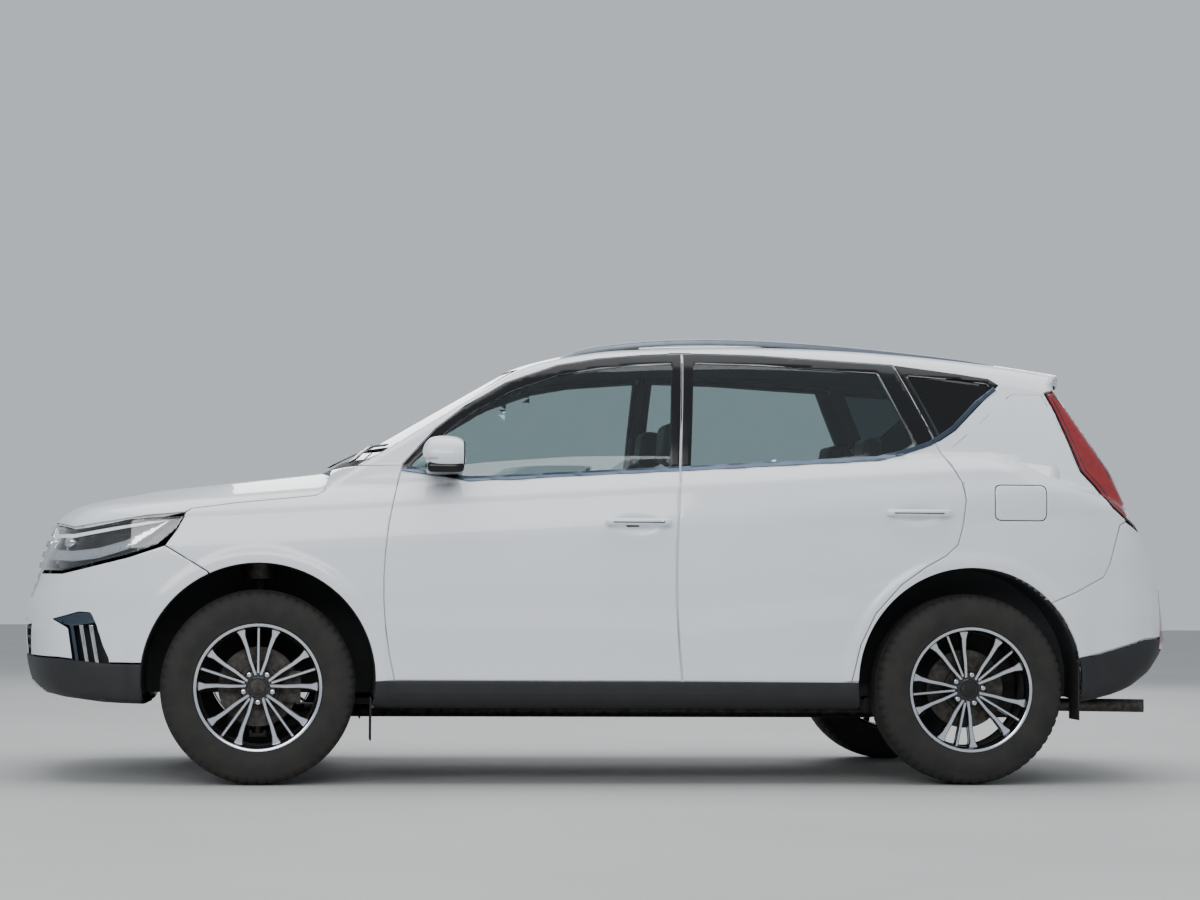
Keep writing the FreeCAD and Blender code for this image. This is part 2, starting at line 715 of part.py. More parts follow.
def knuckle():
    """Right front knuckle with spindle, brake caliper and strut."""
    spindle = Part.makeCylinder(spindle_radius, spindle_end_y - spindle_start_y,
                                V(front_axle_x, spindle_start_y, wheel_z), Y_DIR)
    carrier = Part.makeCylinder(carrier_radius, 45,
                                V(front_axle_x, spindle_start_y - 20, wheel_z), Y_DIR)
    lower_arm = rod(V(front_axle_x, 705, wheel_z - 30), ball_joint, 20)
    ball = Part.makeSphere(ball_radius, ball_joint)
    upper_arm = rod(V(front_axle_x, 705, wheel_z + 30), strut_foot + V(0, 0, -20), 24)
    axis = (strut_top - strut_foot).normalize()
    damper = Part.makeCylinder(damper_radius, 330, strut_foot - axis * 30, axis)
    piston = rod(strut_foot + axis * 250, strut_top, piston_radius)
    low = strut_foot + axis * ((spring_low_z - strut_foot.z) / axis.z)
    high = strut_foot + axis * ((spring_high_z - strut_foot.z) / axis.z)
    spring = rod(low, high, spring_radius)
    caliper = box(front_axle_x + 95, front_axle_x + 160, 735, 803, wheel_z - 60, wheel_z + 60)
    disc_slot = Part.makeCylinder(disc_radius + 6, disc_thickness + 10,
                                  V(front_axle_x, wheel_mid_y + disc_offset - 5, wheel_z), Y_DIR)
    caliper = caliper.cut(disc_slot)
    bracket = box(front_axle_x + 20, front_axle_x + 160, 700, 740, wheel_z - 30, wheel_z + 30)
    steering_arm = rod(V(front_axle_x + 10, 700, wheel_z - 20),
                       V(front_axle_x + 130, 672, wheel_z - 60), 13)
    return fused([spindle, carrier, lower_arm, ball, upper_arm, damper, piston, spring, caliper,
                  bracket, steering_arm])


arm_low_z = 272
arm_high_z = 328


def rear_hub():
    """Right rear hub carrier with its caliper."""
    spindle = Part.makeCylinder(spindle_radius, spindle_end_y - spindle_start_y,
                                V(rear_axle_x, spindle_start_y, wheel_z), Y_DIR)
    carrier = Part.makeCylinder(carrier_radius, 45,
                                V(rear_axle_x, spindle_start_y - 25, wheel_z), Y_DIR)
    arm = box(1015, rear_axle_x, 583, 628, arm_low_z, arm_high_z)
    link = box(rear_axle_x - 45, rear_axle_x + 45, 583, 700, arm_low_z, arm_high_z)
    pivot = Part.makeCylinder(28, 70, V(1015, 558, (arm_low_z + arm_high_z) / 2), Y_DIR)
    bracket = box(kick_up_x + floor_thickness + small_gap, 1015, 570, 616, 285, 318)
    damper = rod(V(rear_axle_x + 40, 580, 320),
                 V(rear_axle_x + 40, 580, boot_floor_z - small_gap), 26)
    return [spindle, carrier, arm, link, pivot, bracket, damper]


for axle, x, turn in (("f", front_axle_x, spoke_turn), ("r", rear_axle_x, rear_spoke_turn)):
    for side, mirror_it in (("r", False), ("l", True)):
        rubber = tyre(x)
        metal = wheel(x, turn)
        save("tyre_" + axle + side, mirrored(rubber) if mirror_it else rubber)
        save("wheel_" + axle + side, mirrored(metal) if mirror_it else metal)

right_knuckle = knuckle()
save("knuckle_r", right_knuckle)
save("knuckle_l", mirrored(right_knuckle))

right_hub = rear_hub()
beam = box(1060, 1140, -600, 600, arm_low_z, arm_high_z)
save("rear_axle", fused(right_hub + [mirrored(piece) for piece in right_hub] + [beam]))

arm_top = ball_joint.z + 4
arm_foot = ball_joint.z - 24
arm_inner_half = 45
control_arm = Part.makeLoft([
    Part.makePolygon([V(front_axle_x - 32, 745, arm_foot), V(front_axle_x + 32, 745, arm_foot),
                      V(front_axle_x + 32, 745, arm_top), V(front_axle_x - 32, 745, arm_top),
                      V(front_axle_x - 32, 745, arm_foot)]),
    Part.makePolygon([V(front_axle_x - 40, 380, 212), V(front_axle_x + 160, 380, 212),
                      V(front_axle_x + 160, 380, 240), V(front_axle_x - 40, 380, 240),
                      V(front_axle_x - 40, 380, 212)])], True, True)
control_arm = control_arm.cut([
    Part.makeSphere(ball_radius + small_gap, ball_joint),
    Part.makeCylinder(ball_radius + 10, 60, ball_joint - V(0, 0, 8))])
subframe = box(front_axle_x - 120, front_axle_x + 320, -390, 390, 205, 255)
subframe = subframe.cut(box(front_axle_x, front_axle_x + 180, -200, 200, 200, 260))
save("front_subframe", fused([subframe, control_arm, mirrored(control_arm)]))


# Front structure, wheel houses, engine

house_low_z = 330
tower_radius = 100
tower_top_z = 955
apron_thickness = 6
rail_low_z = 470
rail_high_z = 590
cross_beam_x = -2130


def wheel_house(axle_x, wall_y, outer_y):
    """Curved liner over a wheel on the right, with its inner wall."""
    ring = wheel_drum(axle_x, arch_radius, wall_y, outer_y).cut(
        wheel_drum(axle_x, arch_radius - liner_thickness, wall_y - 1, outer_y + 1))
    disc = wheel_drum(axle_x, arch_radius, wall_y - apron_thickness, wall_y)
    return ring.fuse(disc).cut(box(axle_x - 600, axle_x + 600, 0, far, -200, house_low_z))


front_house = wheel_house(front_axle_x, front_house_wall_y, 870)
hole = Part.makeCylinder(tower_radius - apron_thickness, 400, V(front_axle_x, 590, 700))
tower = Part.makeCylinder(tower_radius, tower_top_z - 800, V(front_axle_x, 590, 800))
tower = tower.cut(Part.makeCylinder(tower_radius - apron_thickness, tower_top_z - 800 - 8,
                                    V(front_axle_x, 590, 800)))
tower = tower.cut(wheel_drum(front_axle_x, arch_radius - 2, front_house_wall_y, far))
tower = tower.cut(Part.makeCylinder(piston_radius + piston_gap, 40, strut_top - V(0, 0, 30)))
front_house = front_house.cut(hole).fuse(tower)
rear_house = wheel_house(rear_axle_x, rear_house_wall_y, 823)
save("wheel_houses", front_house, mirrored(front_house), rear_house, mirrored(rear_house))

rail_outer_y = front_house_wall_y - apron_thickness - small_gap
right_rail = box(cross_beam_x, bulkhead_x - 15, rail_outer_y - 70, rail_outer_y, rail_low_z,
                 rail_high_z)
cross_beam = box(cross_beam_x - 60, cross_beam_x, -560, 560, rail_low_z, rail_high_z)
radiator = box(cross_beam_x, cross_beam_x + 50, -350, 350, 330, 880)
save("front_frame", fused([right_rail, mirrored(right_rail), cross_beam, radiator]))
bulkhead = box(bulkhead_x - 15, bulkhead_x - small_gap, -floor_half, floor_half, floor_z, 1075)
bulkhead = bulkhead.common(lower_body(sheet + 5))
bulkhead = bulkhead.cut([wheel_drum(front_axle_x, arch_radius + 1, front_house_wall_y - 8, far),
                         mirrored(wheel_drum(front_axle_x, arch_radius + 1,
                                             front_house_wall_y - 8, far))])
save("bulkhead", bulkhead)
rail_inner_y = rail_outer_y - 70 - small_gap
mounting = box(-1700, -1620, -rail_inner_y, rail_inner_y, 490, 570)
save("engine_block", fused([box(-1880, -1360, -340, 345, 330, 900), mounting]))
hanger_radius = 8
save("exhaust", fused([
    rod(V(-1000, 60, 240), V(1150, 60, 240), 28), rod(V(1150, 60, 240), V(1500, -300, 300), 28),
    box(1500, 1780, -480, -200, 240, 380), rod(V(1780, -420, 290), V(2150, -520, 290), 26),
    rod(V(1640, -340, 370), V(1640, -340, boot_floor_z - small_gap), hanger_radius),
    rod(V(0, 60, 250), V(0, 60, floor_z - small_gap), hanger_radius)]))


# Mud flaps and outside fittings

flap_thickness = 6


def mud_flap(x, z_foot, z_top):
    """Hanging flap behind a right wheel."""
    return box(x, x + flap_thickness, 745, 880, z_foot, z_top)


front_flap = mud_flap(-941.3, 168, 330)
rear_flap = mud_flap(1782.6, 250, 472)
save("mud_flaps", front_flap, mirrored(front_flap), rear_flap, mirrored(rear_flap))

mirror_pod = side_prism([(-760, 1195), (-748, 1300), (-690, 1328), (-585, 1322), (-562, 1280),
                         (-575, 1190), (-700, 1172)], 905, 1055)
mirror_pod = mirror_pod.common(Part.makeCylinder(170, 200, V(-700, 980, 1150), Z_DIR))
mirror_foot = side_prism([(-765, 1196), (-640, 1196), (-610, 1150), (-730, 1150)], 800, 960)
for side, turn in (("r", lambda s: s), ("l", mirrored)):
    piece = fused([mirror_pod, mirror_foot]).cut(front_door).cut(front_pane)
    piece = max(piece.Solids, key=lambda solid: solid.Volume)
    save("mirror_" + side, turn(piece))

rail_y = 560
rail_half_width = 16
rail_line = [(-205, 1640), (-126, 1672), (-48, 1696), (150, 1719), (460, 1728, VIA),
             (867, 1712), (1350, 1668), (1562, 1628)]
rail_under = [(1562, 1560), (-205, 1560)]
rail_solid = side_prism(rail_line + rail_under, rail_y - rail_half_width, rail_y + rail_half_width)
rail_gap = side_prism([(-40, 1640), (120, 1702), (460, 1708, VIA), (867, 1693), (1300, 1655),
                       (1400, 1500), (-40, 1500)], rail_y - 40, rail_y + 40)
roof_rail = rail_solid.cut(rail_gap).cut(outer)
roof_rail = max(roof_rail.Solids, key=lambda solid: solid.Volume)
save("roof_rails", roof_rail, mirrored(roof_rail))


# Inside

seat_width = 500
seat_mid_y = 370


def rounded(shape, radius):
    """Shape with all its edges rounded."""
    return shape.makeFillet(radius, shape.Edges)


def seat(x, width, mid_y):
    """Seat with cushion, back and head restraint."""
    cushion = side_prism([(x - 250, 600), (x + 260, 580), (x + 270, 440), (x - 240, 440)],
                         mid_y - width / 2, mid_y + width / 2)
    back = side_prism([(x + 150, 585), (x + 285, 560), (x + 420, 1180), (x + 325, 1190)],
                      mid_y - width / 2 + 12, mid_y + width / 2 - 12)
    head = side_prism([(x + 335, 1235), (x + 350, 1400), (x + 440, 1395), (x + 435, 1235)],
                      mid_y - 130, mid_y + 130)
    posts = box(x + 375, x + 395, mid_y - 70, mid_y + 70, 1150, 1250)
    base = box(x - 200, x + 220, mid_y - width / 2 + 40, mid_y + width / 2 - 40,
               floor_top + small_gap, 445)
    return fused([rounded(cushion, 40), rounded(back, 30), rounded(head, 30), posts, base])


front_seat = seat(-130, seat_width, seat_mid_y)
save("front_seats", front_seat, mirrored(front_seat))
bench = side_prism([(560, 620), (905, 600), (905, 440), (570, 440)], -640, 640)
bench_back = side_prism([(820, 600), (930, 600), (1080, 1170), (990, 1180)], -620, 620)
bench_base = box(600, 900, -560, 560, floor_top + small_gap, 450)
bench_heads = [side_prism([(1010, 1210), (1020, 1350), (1095, 1350), (1095, 1210)], y - 120, y + 120)
               for y in (-380, 380)]
bench_posts = [box(1045, 1062, y - 60, y + 60, 1140, 1230) for y in (-380, 380)]
save("rear_seat", fused([rounded(bench, 35), rounded(bench_back, 25), bench_base]
                        + [rounded(head, 25) for head in bench_heads] + bench_posts))

dash_line = [(-985, 1060), (-870, 1120), (-700, 1130), (-560, 1075), (-545, 960), (-640, 780),
             (-985, 700)]
dashboard = side_prism(dash_line, -700, 700)
console = side_prism([(-700, 800), (-480, 640), (20, 600), (40, floor_top + small_gap),
                      (-980, floor_top + small_gap), (-980, 780)], -105, 105)
dashboard = fused([dashboard, console])
wheel_centre = V(-415, -seat_mid_y, 975)
column_axis = V(math.cos(math.radians(25)), 0, math.sin(math.radians(25)))
rim_ring = Part.makeTorus(183, 15, wheel_centre, column_axis)
boss = Part.makeCylinder(60, 45, wheel_centre - column_axis * 45, column_axis)
shaft = Part.makeCylinder(22, 130, wheel_centre - column_axis * 170, column_axis)
wheel_arms = []
for angle in (0, 180, 270):
    arm = box(wheel_centre.x - 25, wheel_centre.x - 7, wheel_centre.y + 50, wheel_centre.y + 176,
              wheel_centre.z - 22, wheel_centre.z + 22)
    arm.rotate(wheel_centre, Y_DIR, -25)
    arm.rotate(wheel_centre, column_axis, angle)
    wheel_arms.append(arm)
save("steering_wheel", fused([rim_ring, boss, shaft] + wheel_arms))
column_space = Part.makeCylinder(22 + small_gap, 400, wheel_centre - column_axis * 500, column_axis)
column_space = column_space.fuse(
    Part.makeCylinder(22 + small_gap, 330, wheel_centre - column_axis * 330, column_axis))
dashboard = dashboard.cut(column_space)
save("dashboard", dashboard)
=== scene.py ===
# %% [markdown]
# # A white five-door family SUV
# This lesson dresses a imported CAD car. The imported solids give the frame, the joints and the
# sizes; every visible piece is then modelled on top of them in metres, in the same place.
# First the frame is loaded and everything is deselected, because the loader leaves the CAD
# nodes selected and an operator acts on all that is selected.

# %% Load the frame
import bpy
import json
import math
import numpy as np
from mathutils import Matrix, Vector

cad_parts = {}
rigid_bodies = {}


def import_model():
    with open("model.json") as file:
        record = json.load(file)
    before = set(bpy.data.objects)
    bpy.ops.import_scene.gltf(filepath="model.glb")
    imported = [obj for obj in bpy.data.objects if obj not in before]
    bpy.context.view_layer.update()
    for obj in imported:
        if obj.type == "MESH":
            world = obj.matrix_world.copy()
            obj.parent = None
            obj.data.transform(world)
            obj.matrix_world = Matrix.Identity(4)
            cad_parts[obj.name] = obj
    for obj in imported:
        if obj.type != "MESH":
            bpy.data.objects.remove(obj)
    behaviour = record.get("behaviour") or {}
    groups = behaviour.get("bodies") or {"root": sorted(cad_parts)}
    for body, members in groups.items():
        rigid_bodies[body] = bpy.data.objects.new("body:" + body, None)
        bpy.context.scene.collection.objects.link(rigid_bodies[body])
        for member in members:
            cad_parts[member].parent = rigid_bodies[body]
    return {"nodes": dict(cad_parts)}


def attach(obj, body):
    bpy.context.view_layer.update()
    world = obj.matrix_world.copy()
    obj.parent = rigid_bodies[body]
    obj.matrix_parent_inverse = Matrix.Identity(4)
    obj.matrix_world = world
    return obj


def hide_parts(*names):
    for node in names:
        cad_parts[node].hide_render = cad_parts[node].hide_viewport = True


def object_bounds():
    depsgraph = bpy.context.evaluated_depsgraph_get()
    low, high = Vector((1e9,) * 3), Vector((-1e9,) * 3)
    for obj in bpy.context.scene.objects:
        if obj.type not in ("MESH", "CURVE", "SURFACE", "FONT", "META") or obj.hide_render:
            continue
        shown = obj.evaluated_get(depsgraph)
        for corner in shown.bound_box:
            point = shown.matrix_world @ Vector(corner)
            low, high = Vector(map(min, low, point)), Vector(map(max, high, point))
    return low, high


for spare in list(bpy.data.objects):
    bpy.data.objects.remove(spare)
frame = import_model()
CAD_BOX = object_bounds()
NODES = frame["nodes"]
MM = 0.001
bpy.ops.object.select_all(action="DESELECT")

# %% [markdown]
# ## The camera and the light
# The photograph is a side view from about twelve metres with a long lens, a little forward of
# the middle and low, so the underside stays hidden. A pale floor and three large soft lamps
# stand in for the open sky: white paint only shows its shape through what it mirrors.

# %% Camera
YAW, PITCH, ROLL = (math.radians(a) for a in (6.12, 2.38, 0.42))
camera_data = bpy.data.cameras.new("photo_camera")
camera_data.lens = 87.4
camera_data.sensor_width = 36
camera_data.clip_end = 200
camera = bpy.data.objects.new("photo_camera", camera_data)
bpy.context.scene.collection.objects.link(camera)
ahead = Vector((math.sin(YAW) * math.cos(PITCH), math.cos(YAW) * math.cos(PITCH),
                math.sin(PITCH)))
level = Vector((math.cos(YAW), -math.sin(YAW), 0))
upright = level.cross(ahead)
right = math.cos(ROLL) * level + math.sin(ROLL) * upright
up = -math.sin(ROLL) * level + math.cos(ROLL) * upright
camera.matrix_world = Matrix((
    (right.x, up.x, -ahead.x, -1.259), (right.y, up.y, -ahead.y, -11.885),
    (right.z, up.z, -ahead.z, 0.811), (0, 0, 0, 1)))
bpy.context.scene.camera = camera
print("camera at", [round(v, 3) for v in camera.matrix_world.translation])

# %% [markdown]
# ## Materials
# One function turns sRGB hex into linear light and one adds a node with its settings and
# links. Each material is named for the real finish, and its pattern reads Object coordinates
# in metres, so a scale of 900 is a grain of about a millimetre.

# %% Colour and node helpers


def to_linear(code):
    """Linear RGBA of an sRGB hex colour."""
    channels = [int(code[i:i + 2], 16) / 255 for i in (1, 3, 5)]
    return [c / 12.92 if c <= 0.04045 else ((c + 0.055) / 1.055) ** 2.4 for c in channels] + [1]


def add_node(tree, kind, settings=None, links=None):
    """Add one node, set its values and link its inputs."""
    node = tree.nodes.new(kind)
    for key, value in (settings or {}).items():
        if key in node.inputs:
            node.inputs[key].default_value = value
        else:
            setattr(node, key, value)
    for key, source in (links or {}).items():
        tree.links.new(source, node.inputs[key])
    return node


def new_material(name, colour, roughness, settings=None, tint=None, grain=None):
    """A Principled material; tint is a second colour mottled in, grain a fine bump.

    tint = (second colour, pattern scale, sharpness), grain = (scale, distance in metres)."""
    material = bpy.data.materials.new(name)
    material.use_nodes = True
    tree = material.node_tree
    shader = tree.nodes["Principled BSDF"]
    shader.inputs["Base Color"].default_value = to_linear(colour)
    for key, value in {"Roughness": roughness, **(settings or {})}.items():
        shader.inputs[key].default_value = value
    place = add_node(tree, "ShaderNodeTexCoord").outputs["Object"]
    if tint:
        noise = add_node(tree, "ShaderNodeTexNoise", {"Scale": tint[1], "Detail": 6},
                         {"Vector": place})
        level = add_node(tree, "ShaderNodeMapRange",
                         {"From Min": 0.5 - tint[2], "From Max": 0.5 + tint[2]},
                         {"Value": noise.outputs["Fac"]})
        mix = add_node(tree, "ShaderNodeMix", {"data_type": "RGBA"},
                       {"Factor": level.outputs["Result"]})
        mix.inputs[6].default_value = to_linear(colour)
        mix.inputs[7].default_value = to_linear(tint[0])
        tree.links.new(mix.outputs[2], shader.inputs["Base Color"])
    if grain:
        noise = add_node(tree, "ShaderNodeTexNoise", {"Scale": grain[0], "Detail": 3},
                         {"Vector": place})
        bump = add_node(tree, "ShaderNodeBump", {"Strength": 0.5, "Distance": grain[1]},
                        {"Height": noise.outputs["Fac"]})
        tree.links.new(bump.outputs["Normal"], shader.inputs["Normal"])
    return material


print("white in linear light", to_linear("#ffffff"))

# %% Paint, plastics and rubber
# Clear-coated white enamel: bright base, hard thin coat, a whisper of orange peel.
paint = new_material("clear_coated_white_enamel", "#e9edf1", 0.32,
                     {"Coat Weight": 0.8, "Coat Roughness": 0.04}, ("#e4e8ee", 2.2, 0.3),
                     (260, 0.00002))
# Piano-black ABS: deep black with a clean mirror.
gloss_black = new_material("polished_black_abs", "#0b0c0e", 0.16, {"Specular IOR Level": 0.35},
                           ("#111215", 30, 0.3))
# Grained polypropylene: black, dull, with a leathery moulded grain drawn 1.5 mm coarse.
cladding = new_material("grained_polypropylene", "#1b1c1e", 0.62, None, ("#232427", 14, 0.25),
                        (650, 0.0003))
# Seals and flaps: soft EPDM rubber, dusty black.
rubber = new_material("epdm_rubber", "#151515", 0.75, None, ("#211f1c", 25, 0.3), (420, 0.0002))
# Tyre tread rubber: carbon black browned by dust.
tyre_rubber = new_material("dusty_tyre_rubber", "#1a1a1b", 0.82, None, ("#2c2925", 16, 0.25),
                           (500, 0.0004))
print("opaque finishes", len(bpy.data.materials))

# %% Glass and lamps
FLOAT_GLASS = {"Transmission Weight": 1.0, "IOR": 1.45}
# Lightly tinted float glass, and a darker one for the quarter and tailgate windows.
glass = new_material("tinted_float_glass", "#c3d2d2", 0.0, FLOAT_GLASS)
privacy = new_material("privacy_float_glass", "#3b4446", 0.0, FLOAT_GLASS)
# Clear polycarbonate and red acrylic of the lamp covers.
clear_lens = new_material("clear_polycarbonate", "#f4f7f8", 0.0,
                          {"Transmission Weight": 1.0, "IOR": 1.5})
red_lens = new_material("red_acrylic", "#9a0812", 0.06,
                        {"Coat Weight": 1.0, "Coat Roughness": 0.03}, ("#6d050d", 40, 0.3))
deep_red = new_material("deep_red_acrylic", "#3d0307", 0.06, {"Coat Weight": 1.0},
                        ("#2c0205", 40, 0.3))
# Daylight strips, and the blank plates.
lamp_white = new_material("white_led_diffuser", "#f3f6fa", 0.2, {
    "Emission Strength": 0.6, "Emission Color": to_linear("#ffffff")}, ("#e6ebf2", 50, 0.3))
blank_plate = new_material("blank_plate", "#dfe1e2", 0.35, None, ("#d5d8da", 60, 0.3))
print("with glass and lamps", len(bpy.data.materials))

# %% Metals
METAL = {"Metallic": 1.0}
# Bright trim: chromed ABS.
chrome = new_material("chromed_abs", "#d8dadd", 0.07, METAL, ("#c8cbd0", 60, 0.3))
# Belt moulding: dark satin chrome, its base colour tinted blue-grey as a painted reflection of
# the sky.
sky_tinted_belt_metal = new_material("dark_satin_chrome", "#5a6573", 0.24, METAL, ("#4a5461", 12, 0.3))
# Roof rail: clear-anodised extrusion, satin.
rail_metal = new_material("anodised_aluminium", "#8d949e", 0.3, METAL, ("#7c838d", 20, 0.3),
                          (900, 0.00005))
# Wheel face: diamond-cut aluminium, bright with fine turning.
cut_alloy = new_material("diamond_cut_alloy", "#dfe3e8", 0.16, METAL, ("#c9ced6", 90, 0.3),
                         (1500, 0.00004))
wheel_black = new_material("baked_black_lacquer", "#0d0e10", 0.25,
                           {"Coat Weight": 0.6, "Coat Roughness": 0.08}, ("#15161a", 40, 0.3))
# Brake disc, hubs, arms and exhaust: grey cast iron, turned or scaled.
cast_iron = new_material("grey_cast_iron", "#5c5a57", 0.5, {"Metallic": 0.85},
                         ("#3a3430", 45, 0.2), (350, 0.0003))
black_steel = new_material("chassis_black_steel", "#131416", 0.6, None, ("#1d1b19", 10, 0.25),
                           (300, 0.0002))
# Skid tip: silver lacquer.
silver_paint = new_material("silver_lacquer", "#aab0b7", 0.28, {"Metallic": 0.7},
                            ("#9aa0a8", 30, 0.3))
print("with metals", len(bpy.data.materials))

# %% Cabin finishes
# Cabin: woven seat cloth, soft-grain dash, pale knitted headliner.
seat_cloth = new_material("woven_seat_cloth", "#1d1e21", 0.9, {"Sheen Weight": 0.3},
                          ("#2b2c30", 700, 0.2), (800, 0.0004))
dash_grain = new_material("soft_grained_dash", "#17181a", 0.7, None, ("#202124", 30, 0.3),
                          (700, 0.0003))
headliner = new_material("knitted_headliner", "#4b4a48", 0.95, None, ("#3f3e3c", 500, 0.2),
                         (900, 0.0003))
print("materials", len(bpy.data.materials))

# %% [markdown]
# ## The skin of the car
# A car body is pressed from sheets that all lie on one flowing surface. Here that surface is
# worked out as a function: how far a point lies outside the body. Each part of it repeats the
# driving lines of the CAD skin, and neighbouring parts are blended with a rounded edge, as a
# stamping has. A panel made as a flat grid is then pressed onto that surface.

# %% Driving lines in millimetres
SIDE = [(100, 780), (280, 800), (300, 866), (340, 884), (420, 893), (600, 899), (760, 910),
        (967, 910), (1010, 906), (1125, 880), (1188, 815), (1350, 0), (1500, -750)]
PLAN = [(-2400, 60), (-2320, 300), (-2255, 540), (-2150, 712), (-2010, 815), (-1790, 884),
        (-1500, 910), (1500, 910), (1790, 892), (2010, 838), (2150, 745), (2250, 560),
        (2320, 300), (2400, 60)]
NOSE = [(200, 1100), (262, 1500), (283, 2110), (318, 2225), (377, 2262), (440, 2278),
        (560, 2290), (660, 2284), (767, 2250), (860, 2235), (984, 2179), (1041, 2108),
        (1074, 2009), (1106, 1880), (1180, 1700), (1300, 1408), (2000, -300)]
TAIL = [(200, 500), (262, 1400), (308, 1940), (338, 2065), (370, 2146), (430, 2220),
        (500, 2268), (540, 2290), (600, 2290), (700, 2270), (812, 2252), (887, 2220),
        (987, 2181), (1215, 2074), (1552, 1842), (1612, 1878), (1760, 1800), (2000, 1670)]
ROOF_SIDE = [(900, 848), (1080, 832), (1180, 815), (1300, 789), (1420, 757), (1525, 719),
             (1630, 672), (1680, 630), (1720, 560), (1800, 300)]
ROOF_TOP = [(-100, 1718), (0, 1718), (150, 1717), (300, 1713), (450, 1706), (590, 1696),
            (660, 1678), (720, 1645), (900, 1520)]
BONNET_LINE = [(-1811, 1114), (-1108, 1196)]
SCREEN_LINE = [(-1108, 1202), (-378, 1622)]
HEADER_LINE = [(-378, 1622), (-60, 1703)]
HANDLES = [(67, 998), (1146, 1042)]
AXLE_X = 1360
ARCH_RADIUS = 440
ARCH_Z = 394
END_RADIUS = 110
HALF_WIDTH = 910
UNDERSIDE = 280
print("wheelbase", 2 * AXLE_X, "width", 2 * HALF_WIDTH)

# %% Reading and blending the lines


def knee(value, table, soft):
    """A polyline read with its knees rounded over the distance soft."""
    xs = [p[0] for p in table]
    ys = [p[1] for p in table]
    steps = (-1, -0.6, -0.2, 0.2, 0.6, 1)
    return sum(np.interp(value + step * soft, xs, ys) for step in steps) / len(steps)


def slope(value, table, soft):
    """Slope of that rounded polyline."""
    return (knee(value + 2, table, soft) - knee(value - 2, table, soft)) / 4


def blend_max(a, b, soft):
    """The larger of two distances, with a rounded edge where they cross."""
    gap = np.maximum(soft - np.abs(a - b), 0)
    return np.maximum(a, b) + gap * gap / (4 * soft)


def blend_min(a, b, soft):
    return -blend_max(-a, -b, soft)


def under_line(x, y, z, line, bend):
    """Height over a cambered sheet whose middle line is given in the side view."""
    (x0, z0), (x1, z1) = line
    span = math.hypot(x1 - x0, z1 - z0)
    cos, sin = (x1 - x0) / span, (z1 - z0) / span
    reach = (x - x0) * cos + (z - z0) * sin
    height = -(x - x0) * sin + (z - z0) * cos
    curve = bend[0] + (bend[1] - bend[0]) * np.clip(reach / span, -0.5, 1.5)
    return (height + curve * y * y / 2) / np.sqrt(1 + (curve * y) ** 2)


def step_up(value, low, high):
    """Smooth step from 0 at low to 1 at high."""
    t = np.clip((value - low) / (high - low), 0, 1)
    return t * t * (3 - 2 * t)


print("rounded edge of two equal distances", float(blend_max(0, 0, 60)))

# %% The skin as a distance


def side_relief(x, z):
    """Arch lips, lower crease and rear shoulder crease, as height over the plain side."""
    from_arch = np.minimum(np.hypot(x + AXLE_X, z - ARCH_Z), np.hypot(x - AXLE_X, z - ARCH_Z))
    lip = 9 * (1 - step_up(from_arch, ARCH_RADIUS + 32, ARCH_RADIUS + 62))
    low_line = np.interp(x, [-900, 100, 245, 885, 1000], [595, 592, 575, 631, 645])
    away = z - low_line
    low_ramp = step_up(x, -1000, -800) * (1 - step_up(x, 850, 980))
    crease = 8 * np.maximum(0, 1 - np.where(away > 0, away / 90, -away / 130)) * low_ramp
    rear_line = np.interp(x, [300, 1270, 1550, 2000], [1085, 1116, 1133, 1150])
    away = z - rear_line
    rear_ramp = step_up(x, 350, 1150) * (1 - step_up(x, 1850, 2050))
    shoulder = 9 * np.maximum(0, 1 - np.where(away > 0, away / 55, -away / 110)) * rear_ramp
    scoop = 0
    for handle_x, handle_z in HANDLES:
        reach = ((x - handle_x) / 95) ** 2 + ((z - handle_z + 8) / 36) ** 2
        scoop = scoop + 13 * np.clip(1 - reach, 0, 1) ** 1.5
    return lip + crease + shoulder - scoop


def round_end(x, y, z, middle, table, soft):
    """Distance outside one end of the car, which is turned about an upright line at middle."""
    out = np.hypot(x - middle, y) - knee(z, table, soft) - END_RADIUS
    return out / np.sqrt(1 + slope(z, table, soft) ** 2)


def lower_skin(x, y, z):
    """Millimetres outside the body below the windows."""
    across = np.abs(y)
    raised = z - 0.065 * x * np.clip((z - 650) / 150, 0, 1)
    width = knee(raised, SIDE, 14) * knee(x, PLAN, 45) / HALF_WIDTH
    lean = slope(raised, SIDE, 14)
    sweep = slope(x, PLAN, 45)
    side = (across - width - side_relief(x, z)) / np.sqrt(1 + lean ** 2 + sweep ** 2)
    nose = round_end(x, y, z, END_RADIUS, NOSE, 14)
    tail = round_end(x, y, z, -END_RADIUS, TAIL, 8)
    bonnet = under_line(x, y, z, BONNET_LINE, (1 / 6000, 1 / 6000))
    shape = blend_max(side, nose, 60)
    shape = blend_max(shape, tail, 45)
    shape = blend_max(shape, bonnet, 40)
    return blend_max(shape, UNDERSIDE - z, 14)


def upper_skin(x, y, z):
    """Millimetres outside the roof, pillars and windows."""
    across = np.abs(y)
    centre_z = 1718 - 8000
    turned_z = np.hypot(x - 550, z - centre_z) + centre_z
    side = (across - knee(turned_z, ROOF_SIDE, 20)) / np.sqrt(
        1 + slope(turned_z, ROOF_SIDE, 20) ** 2)
    top = (turned_z - knee(across, ROOF_TOP, 20)) / np.sqrt(1 + slope(across, ROOF_TOP, 20) ** 2)
    shape = blend_max(side, top, 25)
    shape = blend_max(shape, under_line(x, y, z, HEADER_LINE, (1 / 7500, 1 / 7500)), 25)
    shape = blend_max(shape, under_line(x, y, z, SCREEN_LINE, (1 / 4700, 1 / 6500)), 22)
    tail = round_end(x, y, z, -END_RADIUS, TAIL, 8)
    return np.maximum(blend_max(shape, tail, 16), 1090 - z)


